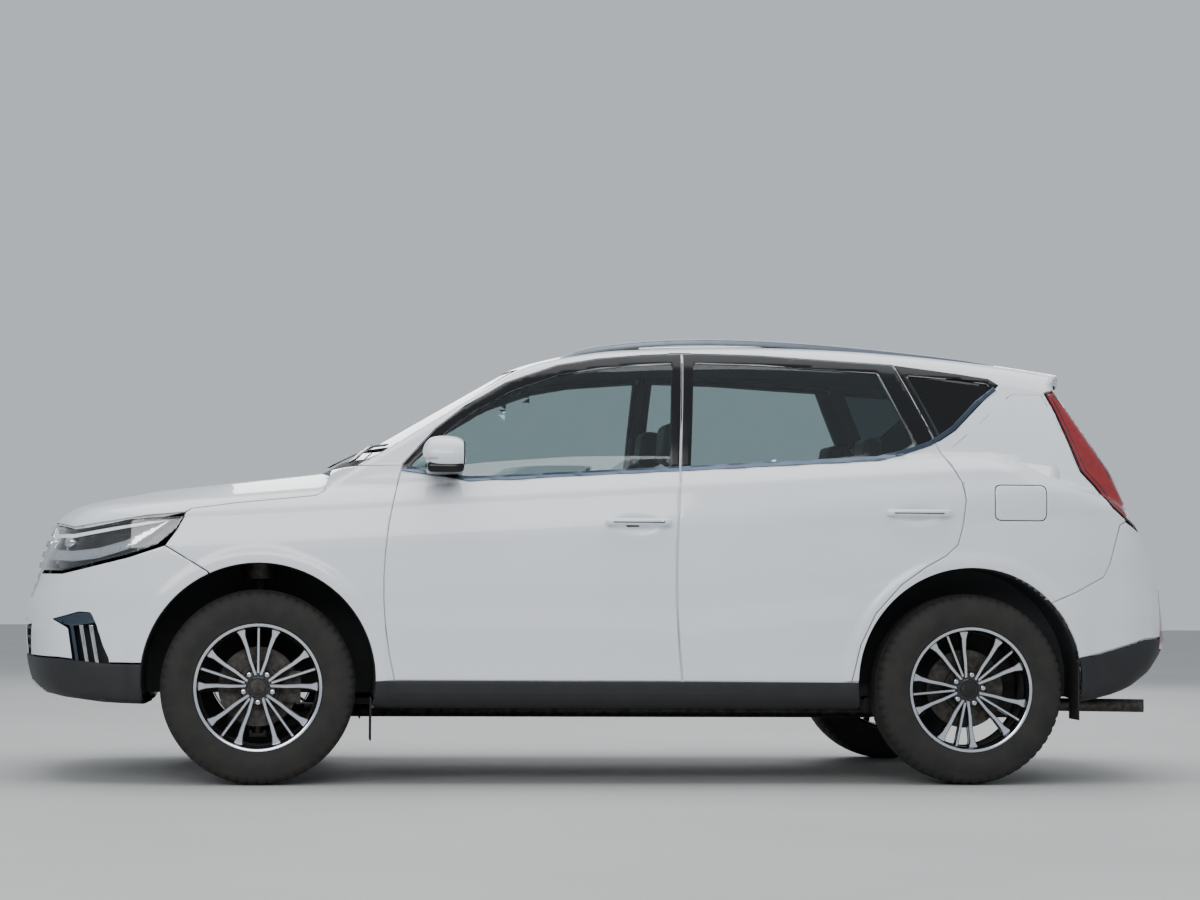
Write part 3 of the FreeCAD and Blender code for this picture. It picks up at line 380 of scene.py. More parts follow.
def skin(points):
    """Metres outside the whole skin, for an array of points in metres."""
    x, y, z = (points / MM).T
    return blend_min(lower_skin(x, y, z), upper_skin(x, y, z), 12) * MM


print("skin at the door", float(skin(np.array([[0, -0.905, 0.9]]))[0]))

# %% Rays onto the skin
LONGEST_RAY = 0.85


def pressed(points, directions, depth):
    """Points moved back along their outward directions until they lie depth under the skin.

    A ray that misses the body stops after LONGEST_RAY metres."""
    travel = np.zeros(len(points))
    small = 0.0005
    for _ in range(32):
        places = points - directions * travel[:, None]
        here = skin(places) + depth
        rate = (here - skin(places - directions * small) - depth) / small
        rate = np.where(rate < 0.12, 0.12, rate)
        travel = np.clip(travel + np.clip(here / rate, -0.05, 0.08), 0,
                         LONGEST_RAY + depth * 2)
    return points - directions * travel[:, None]


def skin_normals(points):
    """Outward directions of the skin at points in metres."""
    small = 0.0008
    grads = [skin(points + np.eye(3)[k] * small) - skin(points - np.eye(3)[k] * small)
             for k in range(3)]
    grads = np.stack(grads, 1)
    return grads / np.maximum(np.linalg.norm(grads, axis=1), 1e-9)[:, None]


print("way out at the door", skin_normals(np.array([[0, -0.905, 0.9]]))[0].round(3))

# %% [markdown]
# ## Ways of making a piece
# Four small tools repeat what a modeller does by hand: a grid is added and pressed into a
# curved sheet with two faces; an outline is drawn as a ring of points, filled and extruded
# into a cutter; the cutter trims the sheet; and the edges get a small round. A sheet is
# gridded along the side, over the roof or round an end, whichever looks straight at it.

# %% Reading, picking and finishing a mesh


def coords(obj):
    """Vertex places as an array."""
    flat = np.empty(len(obj.data.vertices) * 3)
    obj.data.vertices.foreach_get("co", flat)
    return flat.reshape(-1, 3)


def set_coords(obj, places):
    obj.data.vertices.foreach_set("co", np.asarray(places, float).ravel())
    obj.data.update()


def pick(obj):
    """Make one object the only selected and active one."""
    bpy.ops.object.select_all(action="DESELECT")
    obj.select_set(True)
    bpy.context.view_layer.objects.active = obj


def outwards(obj, merge=0.0):
    """Merge doubles and point the faces outwards."""
    pick(obj)
    bpy.ops.object.mode_set(mode="EDIT")
    bpy.ops.mesh.select_all(action="SELECT")
    if merge:
        bpy.ops.mesh.remove_doubles(threshold=merge)
    bpy.ops.mesh.normals_make_consistent(inside=False)
    bpy.ops.object.mode_set(mode="OBJECT")


def use_modifier(obj, kind, **settings):
    """Add a modifier, set it and apply it."""
    modifier = obj.modifiers.new(kind.lower(), kind)
    for key, value in settings.items():
        setattr(modifier, key, value)
    pick(obj)
    bpy.ops.object.modifier_apply(modifier=modifier.name)


print("mesh helpers ready")

# %% A sheet pressed onto the skin


def curved_sheet(name, way, u_range, v_range, pitch, depth, thickness, axis=0.0):
    """A grid pressed onto the skin, with an outer and an inner face.

    way is left (u=x, v=z), over (u=x, v=angle round a level axis at height axis) or
    round (u=angle round an upright axis at x=axis, v=z)."""
    (u0, u1), (v0, v1) = u_range, v_range
    u_size = (u1 - u0) if way != "round" else (u1 - u0) * 0.9
    v_size = (v1 - v0) if way != "over" else (v1 - v0) * 0.9
    u_count = max(2, int(u_size / pitch))
    v_count = max(2, int(v_size / pitch))
    bpy.ops.mesh.primitive_grid_add(x_subdivisions=u_count, y_subdivisions=v_count, size=1)
    obj = bpy.context.object
    obj.name = name
    bpy.ops.object.mode_set(mode="EDIT")
    bpy.ops.mesh.select_all(action="SELECT")
    bpy.ops.mesh.extrude_region_move(TRANSFORM_OT_translate={"value": (0, 0, -0.1)})
    bpy.ops.object.mode_set(mode="OBJECT")
    flat = coords(obj)
    u = u0 + (flat[:, 0] + 0.5) * (u1 - u0)
    v = v0 + (flat[:, 1] + 0.5) * (v1 - v0)
    inner = flat[:, 2] < -0.05
    zero = np.zeros(len(u))
    if way == "left":
        start = np.stack([u, zero - 1.0, v], 1)
        aim = np.tile([0.0, -1.0, 0.0], (len(u), 1))
    elif way == "over":
        aim = np.stack([zero, -np.cos(v), np.sin(v)], 1)
        start = np.stack([u, zero, zero + axis], 1) + aim * 1.0
    else:
        aim = np.stack([np.cos(u), np.sin(u), zero], 1)
        start = np.stack([zero + axis, zero, v], 1) + aim * 1.25
    places = pressed(start, aim, np.where(inner, depth + thickness, depth))
    set_coords(obj, places)
    outwards(obj)
    return obj


print("sheet helper ready")

# %% Cutters


def outline(name, points, view, low, high):
    """A closed outline, in millimetres, extruded into a solid across the view.

    view is xz (side), yz (front) or xy (plan); low and high are metres across it."""
    bpy.ops.mesh.primitive_circle_add(vertices=len(points), radius=1, fill_type="NGON")
    obj = bpy.context.object
    obj.name = name
    order = {"xz": (0, 2, 1), "yz": (1, 2, 0), "xy": (0, 1, 2)}[view]
    places = np.zeros((len(points), 3))
    places[:, order[0]] = [p[0] * MM for p in points]
    places[:, order[1]] = [p[1] * MM for p in points]
    places[:, order[2]] = low
    set_coords(obj, places)
    move = [0, 0, 0]
    move[order[2]] = high - low
    pick(obj)
    bpy.ops.object.mode_set(mode="EDIT")
    bpy.ops.mesh.select_all(action="SELECT")
    bpy.ops.mesh.extrude_region_move(TRANSFORM_OT_translate={"value": move})
    bpy.ops.object.mode_set(mode="OBJECT")
    outwards(obj)
    return obj


LEFT = ("xz", -1.3, -0.3)
ACROSS = ("xz", -1.2, 1.2)
NOSE_ON = ("yz", -2.6, -1.8)
SCREEN_ON = ("yz", -1.3, 0.0)
SCUTTLE_ON = ("yz", -1.3, -0.85)
GATE_ON = ("yz", 1.5, 3.0)
LAMPS_ON = ("yz", 1.6, 3.0)


def cutter(points, where):
    """A solid to trim with; where is the view and the metres across it."""
    return outline("cutter", points, *where)


def sector(*degrees):
    """Angles in degrees as radians."""
    return tuple(math.radians(a) for a in degrees)


def trim(obj, cutters, keep=False):
    """Cut a piece with solids, or keep only what lies inside them."""
    for solid in cutters:
        modifier = obj.modifiers.new("trim", "BOOLEAN")
        modifier.operation = "INTERSECT" if keep else "DIFFERENCE"
        modifier.object = solid
        modifier.solver = "EXACT"
        pick(obj)
        bpy.ops.object.modifier_apply(modifier=modifier.name)
        bpy.data.objects.remove(solid)
    return obj


def drum(name, x, z, radius, y0=-2.0, y1=2.0):
    """A round cutter across the car, in metres."""
    bpy.ops.mesh.primitive_cylinder_add(vertices=96, radius=radius, depth=y1 - y0,
                                        location=(x, (y0 + y1) / 2, z),
                                        rotation=(math.pi / 2, 0, 0))
    obj = bpy.context.object
    obj.name = name
    settle(obj)
    return obj


def wheel_arch(end):
    """The drum that opens the arches at the front, -1, or at the rear, 1."""
    return drum("arch", end * AXLE_X * MM, ARCH_Z * MM, ARCH_RADIUS * MM)


def settle(obj):
    """Put a piece's place into its mesh."""
    pick(obj)
    bpy.ops.object.transform_apply(location=True, rotation=True, scale=True)


print("arch radius", ARCH_RADIUS * MM, "m")

# %% Arcs and softened corners


def arc(start, via, end, count=8):
    """Points on a circle through three points, without the first."""
    (ax, ay), (bx, by), (cx, cy) = start, via, end
    d = 2 * (ax * (by - cy) + bx * (cy - ay) + cx * (ay - by))
    ux = ((ax * ax + ay * ay) * (by - cy) + (bx * bx + by * by) * (cy - ay)
          + (cx * cx + cy * cy) * (ay - by)) / d
    uy = ((ax * ax + ay * ay) * (cx - bx) + (bx * bx + by * by) * (ax - cx)
          + (cx * cx + cy * cy) * (bx - ax)) / d
    angles = [math.atan2(p[1] - uy, p[0] - ux) for p in (start, via, end)]
    full = 2 * math.pi
    turn = (angles[2] - angles[0]) % full
    if (angles[1] - angles[0]) % full > turn:
        turn -= full
    radius = math.hypot(ax - ux, ay - uy)
    return [(ux + radius * math.cos(angles[0] + turn * k / count),
             uy + radius * math.sin(angles[0] + turn * k / count)) for k in range(1, count + 1)]


def softened(points, radius, count=3):
    """Outline with every corner rounded by about radius."""
    result = []
    n = len(points)
    for k in range(n):
        p0, p1, p2 = (Vector(points[(k + d) % n]) for d in (-1, 0, 1))
        a = p0 - p1
        b = p2 - p1
        reach = min(radius, a.length * 0.45, b.length * 0.45)
        s = p1 + a.normalized() * reach
        e = p1 + b.normalized() * reach
        for j in range(count + 1):
            t = j / count
            q = s * (1 - t) ** 2 + p1 * 2 * t * (1 - t) + e * t * t
            result.append((q.x, q.y))
    return result


print("a softened square has", len(softened([(0, 0), (9, 0), (9, 9), (0, 9)], 2)), "points")

# %% Finishing a piece
PIECES = []
FRONT_DOORS = ("door_fl", "door_fr")
REAR_DOORS = ("door_rl", "door_rr")


def finish(obj, material, body="root", replaces=(), slot=None, angle=35, bevel=0.0):
    """Round the edges, shade, paint and hang a finished piece on its body."""
    places = coords(obj)
    if places[:, 0].max() > CAD_BOX[1][0]:
        places[:, 0] = np.minimum(places[:, 0], CAD_BOX[1][0] - 0.0002)
        set_coords(obj, places)
    if bevel:
        outwards(obj, merge=0.0008)
        use_modifier(obj, "BEVEL", width=bevel, segments=2, limit_method="ANGLE",
                     angle_limit=math.radians(50), use_clamp_overlap=False)
    pick(obj)
    bpy.ops.object.shade_smooth_by_angle(angle=math.radians(angle))
    if material is not None:
        obj.data.materials.clear()
        obj.data.materials.append(material)
    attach(obj, body)
    if replaces:
        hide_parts(*((replaces,) if isinstance(replaces, str) else replaces))
    PIECES.append(obj.name)
    return obj


def fitted(name, sheet, line, where, material, body="root", cut=(), **rest):
    """A sheet kept inside an outline, then cut and finished."""
    piece = curved_sheet(name, *sheet)
    trim(piece, [cutter(line, where)], keep=True)
    trim(piece, cut)
    return finish(piece, material, body, **rest)


print("finishing helper ready")

# %% Copies and pairs


def copied(obj, name, matrix=Matrix()):
    """A copy with its own mesh, moved by a matrix."""
    twin = obj.copy()
    twin.data = obj.data.copy()
    twin.name = name
    bpy.context.scene.collection.objects.link(twin)
    twin.data.transform(matrix)
    return twin


def mirror_copy(obj, name):
    """The same piece on the other side of the car, with its own mesh."""
    twin = copied(obj, name)
    places = coords(twin)
    places[:, 1] *= -1
    set_coords(twin, places)
    twin.data.flip_normals()
    return twin


def pair(obj, stem, material, bodies=("root", "root"), replaces=((), ()), **rest):
    """Finish a left piece and its mirrored twin."""
    obj.name = stem + "_l"
    twin = mirror_copy(obj, stem + "_r")
    return [finish(piece, material, bodies[k], replaces[k], **rest)
            for k, piece in enumerate((obj, twin))]


print("copying helpers ready")

# %% [markdown]
# ## Outlines of the panels
# All shut lines are drawn once in the side view, in millimetres, and shared by neighbours, so
# that the gaps between them stay even. Doors reach from the sill to the cant rail; below the
# belt they are white, above it black.

# %% Shut lines
FRONT_DOOR = [(-850, 395)] + arc((-850, 395), (-893, 820), (-838, 1156)) + [
    (-824, 1214), (-699, 1350), (-584, 1441), (-424, 1535), (-226, 1606), (-65, 1635),
    (110, 1652), (262, 1660), (236, 1200)] + arc((236, 1200), (214, 760), (240, 395))
REAR_DOOR = [(245, 395)] + arc((245, 395), (219, 760), (241, 1200)) + [
    (267, 1660), (400, 1659), (564, 1656), (841, 1640), (1096, 1626), (1244, 1318), (1275, 1248),
    (1322, 1164), (1334, 1095), (1323, 998), (1303, 921), (1256, 879), (1178, 836), (1081, 766),
    (984, 658), (926, 536), (893, 395)]
FRONT_WINDOW = [(-796, 1206), (-678, 1321), (-564, 1411), (-410, 1502), (-217, 1571), (-62, 1600),
                (80, 1615), (225, 1624), (200, 1208), (-230, 1186), (-572, 1168), (-724, 1188)]
REAR_WINDOW = [(280, 1212), (306, 1626), (564, 1621), (841, 1605), (1036, 1595), (1168, 1300),
               (1105, 1280), (1005, 1259), (694, 1240)]
QUARTER_WINDOW = [(1256, 1338), (1144, 1588), (1358, 1574), (1470, 1560), (1490, 1530),
                  (1417, 1475), (1319, 1377)]
BELT = [(-826, 1196), (-724, 1181), (-572, 1159), (-400, 1166), (-230, 1178), (268, 1207),
        (694, 1234), (1005, 1253), (1103, 1275), (1220, 1314), (1319, 1377), (1417, 1475),
        (1500, 1538)]
BONNET_SIDE = [(-2400, 986), (-2150, 984), (-2054, 964), (-1886, 992), (-1775, 1010),
               (-1640, 1022), (-1616, 1036), (-1437, 1060), (-1155, 1089), (-1120, 1108),
               (-1104, 1160), (-1086, 1206)]
HEADLAMP = [(-2400, 798), (-2100, 796), (-2033, 812), (-1847, 859), (-1736, 897), (-1669, 955),
            (-1640, 1008), (-1775, 1002), (-1886, 986), (-1998, 963), (-2054, 956), (-2150, 974),
            (-2400, 980)]
FRONT_BUMPER = [(-2400, 788), (-2098, 788), (-2031, 804), (-1845, 851), (-1712, 896),
                (-1552, 800), (-1440, 560), (-1600, 455), (-1918, 455), (-2039, 465),
                (-2113, 472), (-2400, 476)]
FLAP = [(1446, 1015), (1446, 1155), (1654, 1155), (1654, 1015)]
TAIL_LAMP = [(1698, 1524), (1746, 1537), (1806, 1463), (1886, 1339), (1950, 1206), (1995, 1183),
             (2039, 1148), (2120, 1100), (2120, 978), (2055, 983), (1987, 1022), (1926, 1072),
             (1874, 1150), (1818, 1212), (1766, 1357), (1730, 1454)]
REAR_BUMPER = [(1560, 640), (1672, 701), (1770, 740), (1889, 802), (1913, 849), (1941, 946),
               (1957, 1004), (1985, 1016), (2055, 977), (2400, 975), (2400, 580), (2077, 562),
               (1997, 540), (1878, 508), (1779, 488), (1560, 470)]
PILLAR_GAP = [(215, 1185), (215, 1664), (300, 1664), (300, 1185)]
QUARTER_TRIM = [(1100, 1626), (1360, 1594), (1478, 1577), (1518, 1552), (1424, 1462),
                (1326, 1366), (1262, 1325), (1246, 1319)]
TAILGATE = [(540, 806), (590, 900), (612, 1100), (625, 1220), (602, 1400), (590, 1500)]
TAIL_WINDOW = [(575, 1236), (585, 1300), (505, 1530)]
GRILLE = [(400, 706), (470, 800), (500, 905), (450, 955), (0, 972)]
print("outline points", len(FRONT_DOOR) + len(REAR_DOOR))

# %% Gaps, and the axes that end sheets are pressed from
GAP = 2.2
NOSE_AXIS = -1.40
TAIL_AXIS = 1.45
GATE_AXIS = 1.2
SHEET = 0.004
print("shut gap", 2 * GAP, "mm")

# %% Moving and mirroring outlines


def shrunk(points, gap):
    """A closed outline moved inwards (or outwards, for a negative gap)."""
    n = len(points)
    area = sum(points[k][0] * points[(k + 1) % n][1] - points[(k + 1) % n][0] * points[k][1]
               for k in range(n))
    side = 1 if area > 0 else -1
    result = []
    for k in range(n):
        p0, p1, p2 = (Vector(points[(k + d) % n][:2]) for d in (-1, 0, 1))
        a = (p1 - p0).normalized()
        b = (p2 - p1).normalized()
        na = Vector((-a.y, a.x)) * side
        nb = Vector((-b.y, b.x)) * side
        mid = na + nb
        mid = mid / max(mid.length_squared / 2, 0.25) if mid.length > 1e-6 else na
        q = p1 + mid * gap
        result.append((q.x, q.y))
    return result


def both_halves(points, wider=0):
    """An outline of the right half of an end view, closed over the middle of the car."""
    return ([(p[0] + wider, p[1]) for p in points]
            + [(-p[0] - wider, p[1]) for p in points[::-1]])


def band(points, low, high):
    """A closed strip along an open line, from low to high on its upper side."""
    def moved(amount):
        result = []
        for k, p in enumerate(points):
            before = Vector(points[max(k - 1, 0)])
            after = Vector(points[min(k + 1, len(points) - 1)])
            a = (after - before).normalized()
            result.append((p[0] - a.y * amount, p[1] + a.x * amount))
        return result
    return moved(low) + moved(high)[::-1]


print("door moved inwards by", GAP, "mm has", len(shrunk(FRONT_DOOR, GAP)), "points")

# %% A side panel


def limits(points, spare=6):
    """Grid ranges in metres round an outline."""
    us = [p[0] for p in points]
    vs = [p[1] for p in points]
    return (((min(us) - spare) * MM, (max(us) + spare) * MM),
            ((min(vs) - spare) * MM, (max(vs) + spare) * MM))


def side_panel(name, points, pitch=0.016, depth=0.0, thickness=0.004, above=None, below=None):
    """A left-hand panel: the skin inside a side-view outline, above or below the belt."""
    u_range, v_range = limits(points)
    if below is not None:
        v_range = (v_range[0], min(v_range[1], 1.33))
    if above is not None:
        v_range = (max(v_range[0], 1.14), v_range[1])
    sheet = curved_sheet(name, "left", u_range, v_range, pitch, depth, thickness)
    trim(sheet, [cutter(points, LEFT)], keep=True)
    line = band(BELT, above or below or 0, 0)[:len(BELT)]
    ends = [(line[0][0] - 900, line[0][1] + 20)] + line + [(line[-1][0] + 900, line[-1][1])]
    if above is not None:
        trim(sheet, [cutter(ends + [(3000, 200), (-3000, 200)], LEFT)])
    if below is not None:
        trim(sheet, [cutter(ends + [(3000, 2200), (-3000, 2200)], LEFT)])
    return sheet


print("side panel helper ready")

# %% [markdown]
# ## Doors
# On a real car the door's outer panel is one stamping hemmed round the inner one. The white
# part is the skin inside the shut line below the belt; the part above is the window frame,
# covered in gloss black. Both take the curve of the skin, and their edges get a round of a
# millimetre, which draws the bright and dark line of a real shut gap.

# %% Door panels and window frames


def window_frame(door, window):
    """The black frame: the skin above the belt, less the window."""
    panel = side_panel("frame", shrunk(door, GAP), 0.018, 0.0005, 0.006, above=9)
    return trim(panel, [cutter(softened(window, 14), LEFT)])


DOORS = (("front", FRONT_DOOR, FRONT_WINDOW, FRONT_DOORS),
         ("rear", REAR_DOOR, REAR_WINDOW, REAR_DOORS))
for name, door, window, bodies in DOORS:
    pair(side_panel("skin", shrunk(door, GAP), 0.013, below=-9), name + "_door_skin", paint,
         bodies, bevel=0.0011)
for name, door, window, bodies in DOORS:
    pair(window_frame(door, window), name + "_window_frame", gloss_black, bodies, bevel=0.0012)
print("doors", len(PIECES))

# %% [markdown]
# ## Wings and quarter panels
# The front wing stops at the door, the bonnet, the lamp and the bumper, and its arch is cut
# with a drum. The quarter panel runs from the rear door round to the lamp and the bumper and
# has the hole of the fuel flap on the car's left.

# %% Wings, quarter panels and fuel flap
wing_line = ([(-1552, 800), (-1712, 896), (-1669, 955), (-1640, 1008), (-1638, 1020)]
             + BONNET_SIDE[6:] + [(-824, 1210), (-838, 1156)]
             + arc((-838, 1156), (-893, 820), (-850, 395)) + [(-921, 389), (-1300, 480)])
wing = side_panel("front_wing_l", shrunk(wing_line, GAP), 0.013)
trim(wing, [wheel_arch(-1)])
pair(wing, "front_wing", paint, replaces=("fenders", ()), slot="body_paint", bevel=0.0011)

quarter_line = (REAR_DOOR[:-10:-1] + [(1330, 1130), (1324, 1158), (1322, 1164), (1275, 1248),
                (1262, 1276), (1300, 1300), (1420, 1400), (1500, 1470), (1560, 1520),
                (1690, 1520)] + TAIL_LAMP[14:9:-1] + REAR_BUMPER[6::-1] + [(1300, 420)])
quarter = side_panel("quarter_panel_l", shrunk(quarter_line, GAP), 0.014)
trim(quarter, [wheel_arch(1)])
quarter_right = mirror_copy(quarter, "quarter_panel_r")
trim(quarter, [cutter(softened(FLAP, 26), LEFT)])
flap = side_panel("fuel_flap_skin", softened(shrunk(FLAP, GAP * 1.6), 24), 0.012)
finish(quarter, paint, bevel=0.0011)
finish(quarter_right, paint, bevel=0.0011)
finish(flap, paint, "fuel_flap", replaces="fuel_flap", bevel=0.0011)
print("wings and quarters", len(PIECES))

# %% [markdown]
# ## Roof, pillars and windscreen frame
# The roof skin is gridded by rays round a level axis inside the cabin, which look straight at
# the roof and at the pillars alike. It is trimmed by the doors, the quarter windows, the
# windscreen and the tailgate, and what stays is the roof, the cant rails and the pillars.

# %% Roof and pillars
CABIN_Z = 1.15
ROOF_ANGLE = math.radians(67)
side_frame = curved_sheet("side_frame_l", "over", (-1.118, 2.085), (0.0, ROOF_ANGLE), 0.013,
                          0.0, SHEET, CABIN_Z)
SCREEN_HOLE = [(-735, 1226), (-590, 1594), (0, 1610), (590, 1594), (735, 1226)]
trim(side_frame, [cutter(line, LEFT) for line in (
    shrunk(quarter_line, 8), shrunk(FRONT_DOOR, -GAP), shrunk(REAR_DOOR, -GAP), PILLAR_GAP,
    QUARTER_TRIM, shrunk(TAIL_LAMP, -GAP))] + [
    cutter([(0, 1236)] + SCREEN_HOLE, SCREEN_ON),
    cutter([(-1400, 1000), (-1400, 1208), (-600, 1208), (-600, 1000)], ("xz", -2.0, 2.0)),
    cutter([(-712, 1100), (-712, 1229), (-590, 1237), (0, 1239), (0, 1100)], SCUTTLE_ON),
    cutter([(-p[0] - GAP, p[1]) for p in TAILGATE] + [(-590, 1800), (900, 1800), (900, 806)],
           ("yz", 1.655, 3.0))])
pair(side_frame, "pillars_and_rail", paint, bevel=0.0011)
roof = curved_sheet("roof_panel", "over", (-0.42, 1.665), (ROOF_ANGLE, math.pi - ROOF_ANGLE),
                    0.022, 0.0, SHEET, CABIN_Z)
trim(roof, [cutter(SCREEN_HOLE, SCREEN_ON)])
finish(roof, paint)
print("roof and pillars", len(PIECES))

# %% Black cover round the quarter window
quarter_cover = side_panel("quarter_cover_l", shrunk(QUARTER_TRIM, 0.8), 0.014, 0.0006, 0.005)
trim(quarter_cover, [cutter(softened(QUARTER_WINDOW, 14), LEFT)])
pair(quarter_cover, "quarter_cover", gloss_black, bevel=0.0011)
print("quarter covers", len(PIECES))

# %% [markdown]
# ## Bonnet, bumpers and tailgate
# The bonnet is one pressing that ends at the wings, at the lamps and in a bowed edge before
# the windscreen. A bumper is a moulded cover that wraps round an end of the car, so its sheet
# is pressed by rays from an upright axis, kept inside its outline in the side view and opened
# for arch, grille, intake and fog recesses. The tailgate is trimmed in the rear view instead.

# %% Bonnet
REAR_EDGE = 4.5


def rear_edge(radius):
    """The upright drum whose front side is the bowed rear edge of the bonnet."""
    bpy.ops.mesh.primitive_cylinder_add(vertices=512, radius=radius, depth=2,
                                        location=(REAR_EDGE - 1.132, 0, 1.2))
    result = bpy.context.object
    settle(result)
    return result


fitted("bonnet_skin", ("over", (-2.2, -1.03), sector(24, 156), 0.015, 0.0, SHEET, 0.6),
       BONNET_SIDE + [(-1000, 1600), (-2400, 1600)], ACROSS, paint, "bonnet", bevel=0.0013,
       cut=[rear_edge(REAR_EDGE)])
print("bonnet", len(PIECES))

# %% Front bumper
GRILLE_EDGE = [(-p[0], p[1]) for p in GRILLE[:-1]] + [(0, 974)] + GRILLE[:-1][::-1]
INTAKE = [(-440, 400), (-500, 600), (0, 614), (500, 600), (440, 400)]
FOG = [(-2138, 616), (-2031, 646), (-1986, 643), (-1963, 594), (-1939, 519), (-1915, 468),
       (-1916, 440), (-2052, 440), (-2074, 582)]
NOSE_TURN = sector(92, 268)
TAIL_TURN = sector(-88, 88)
fitted("front_bumper_skin", ("round", NOSE_TURN, (0.45, 0.9), 0.014, 0.0, SHEET, NOSE_AXIS),
       shrunk(FRONT_BUMPER, GAP), ACROSS, paint, replaces="front_bumper", bevel=0.0011,
       cut=[wheel_arch(-1), cutter(softened(shrunk(GRILLE_EDGE, -3), 20), NOSE_ON),
            cutter(softened(INTAKE, 20), NOSE_ON), cutter(softened(FOG, 8), ACROSS)])
print("front bumper", len(PIECES))

# %% Rear bumper
fitted("rear_bumper_skin", ("round", TAIL_TURN, (0.47, 1.02), 0.014, 0.0, SHEET, TAIL_AXIS),
       shrunk(REAR_BUMPER, GAP), ACROSS, paint, replaces="rear_bumper", bevel=0.0011,
       cut=[wheel_arch(1), cutter(both_halves(TAILGATE, GAP), ("yz", 1.9, 3.0))])
print("rear bumper", len(PIECES))

# %% Tailgate skin
rear_line = softened(both_halves(TAIL_WINDOW), 30)
fitted("tailgate_skin", ("round", sector(-38, 38), (0.8, 1.56), 0.014, 0.0, SHEET, GATE_AXIS),
       both_halves(TAILGATE, -GAP), GATE_ON, paint, "tailgate", bevel=0.0011,
       cut=[cutter(rear_line, GATE_ON)])
fitted("spoiler_skin", ("over", (1.669, 1.876), sector(24, 156), 0.012, 0.0, SHEET, CABIN_Z),
       [(-588, 1562), (-588, 1800), (588, 1800), (588, 1562)], GATE_ON, paint, "tailgate",
       bevel=0.0011)
print("shell pieces", len(PIECES))

# %% [markdown]
# ## Wheels
# An eighteen-inch alloy wheel is cast, lacquered black and then turned on a lathe, so that
# only the front faces of the spokes and the lip shine. One wheel is made lying round the
# origin and copied to its four places. The barrel and the tyre are turned profiles; a spoke
# is an outline in the wheel's plane, extruded, dished and repeated five times.

# %% Wheel tools
WHEEL_Y = 0.782
WHEEL_Z = 0.366


def lathe(name, profile, steps=120):
    """A closed profile of (radius, distance outwards) in millimetres turned round the axle."""
    bpy.ops.mesh.primitive_circle_add(vertices=len(profile), radius=1)
    obj = bpy.context.object
    obj.name = name
    set_coords(obj, [(r * MM, -out * MM, 0) for r, out in profile])
    use_modifier(obj, "SCREW", axis="Y", steps=steps, render_steps=steps,
                 use_merge_vertices=True, merge_threshold=1e-5)
    outwards(obj, merge=1e-5)
    return obj


def joined(name, pieces):
    """Several pieces as one object."""
    bpy.ops.object.select_all(action="DESELECT")
    for piece in pieces:
        piece.select_set(True)
    bpy.context.view_layer.objects.active = pieces[0]
    if len(pieces) > 1:
        bpy.ops.object.join()
    pieces[0].name = name
    return pieces[0]


def five_times(obj):
    """The piece repeated every 72 degrees round the axle."""
    copies = [copied(obj, obj.name, Matrix.Rotation(math.radians(72 * k), 4, "Y"))
              for k in range(1, 5)]
    return joined(obj.name, [obj] + copies)


def rounded(obj, width, segments=2, angle=40):
    """Small round on the sharp edges."""
    use_modifier(obj, "BEVEL", width=width, segments=segments, limit_method="ANGLE",
                 angle_limit=math.radians(angle), use_clamp_overlap=True)
    return obj


print("lathe and copies ready")

# %% Spokes


def spoke(name, points, thick, out=0.0):
    """A spoke from its outline (sideways, radial) in millimetres, further out at the rim."""
    solid = outline(name, points, "xz", -out * MM, (thick - out) * MM)
    places = coords(solid)
    radius = np.hypot(places[:, 0], places[:, 2]) / MM
    places[:, 1] -= np.interp(radius, [50, 110, 225], [60, 64, 78]) * MM
    set_coords(solid, places)
    return solid


OUTER_SPOKE = [(4, 44), (23, 100), (36, 150), (49, 192), (50, 226), (70, 222), (88, 212),
               (76, 200), (64, 182), (49, 146), (36, 100), (15, 44)]
MIDDLE_SPOKE = [(-4.5, 52), (-4.5, 226), (4.5, 226), (4.5, 52)]
faces = []
ribs = []
for side in (1, -1):
    points = [(side * t, r) for t, r in OUTER_SPOKE]
    faces.append(spoke("spoke_face", shrunk(points, 0.8), 3, 1.4))
    ribs.append(spoke("spoke_rib", shrunk(points, -1.6), 42))
faces.append(spoke("spoke_face", shrunk(MIDDLE_SPOKE, 0.6), 3, 1.4))
ribs.append(spoke("spoke_rib", shrunk(MIDDLE_SPOKE, -1.6), 36))
bright = five_times(joined("wheel_bright", faces))
black = five_times(joined("wheel_black", ribs))
rounded(bright, 0.0006, 1)
rounded(black, 0.0016, 2)
print("five double spokes", len(bright.data.polygons), "bright faces")

# %% Rim, hub, nuts and brake disc
lip = lathe("lip", [(229, 104), (239, 104.5), (240.5, 107), (239, 109), (233, 108.5),
                    (229, 106.5)], 144)
barrel = lathe("barrel", [
    (240, 103), (229, 105), (224, 98), (221, 80), (220, 55), (219.5, 10), (219.5, -60),
    (221, -92), (232, -104), (240, -104), (240, -98), (230, -88), (226, -66), (225.5, 20),
    (228, 70), (230, 96)], 144)
hub = lathe("hub", [(0, 58), (30, 58), (31, 60), (36, 60), (40, 57), (64, 58), (68, 54),
                    (66, 20), (40, 12), (0, 12)], 80)
cap = lathe("cap", [(0, 62.5), (22, 62.2), (28, 60.5), (29, 57), (0, 57)], 60)
nuts = []
for k in range(5):
    angle = math.radians(36 + 72 * k)
    place = (57 * MM * math.sin(angle), -0.060, 57 * MM * math.cos(angle))
    bpy.ops.mesh.primitive_cylinder_add(vertices=6, radius=0.0095, depth=0.018, location=place,
                                        rotation=(math.pi / 2, 0, 0))
    nut = bpy.context.object
    settle(nut)
    rounded(nut, 0.0015, 2, 20)
    nuts.append(nut)
nuts = joined("nuts", nuts)
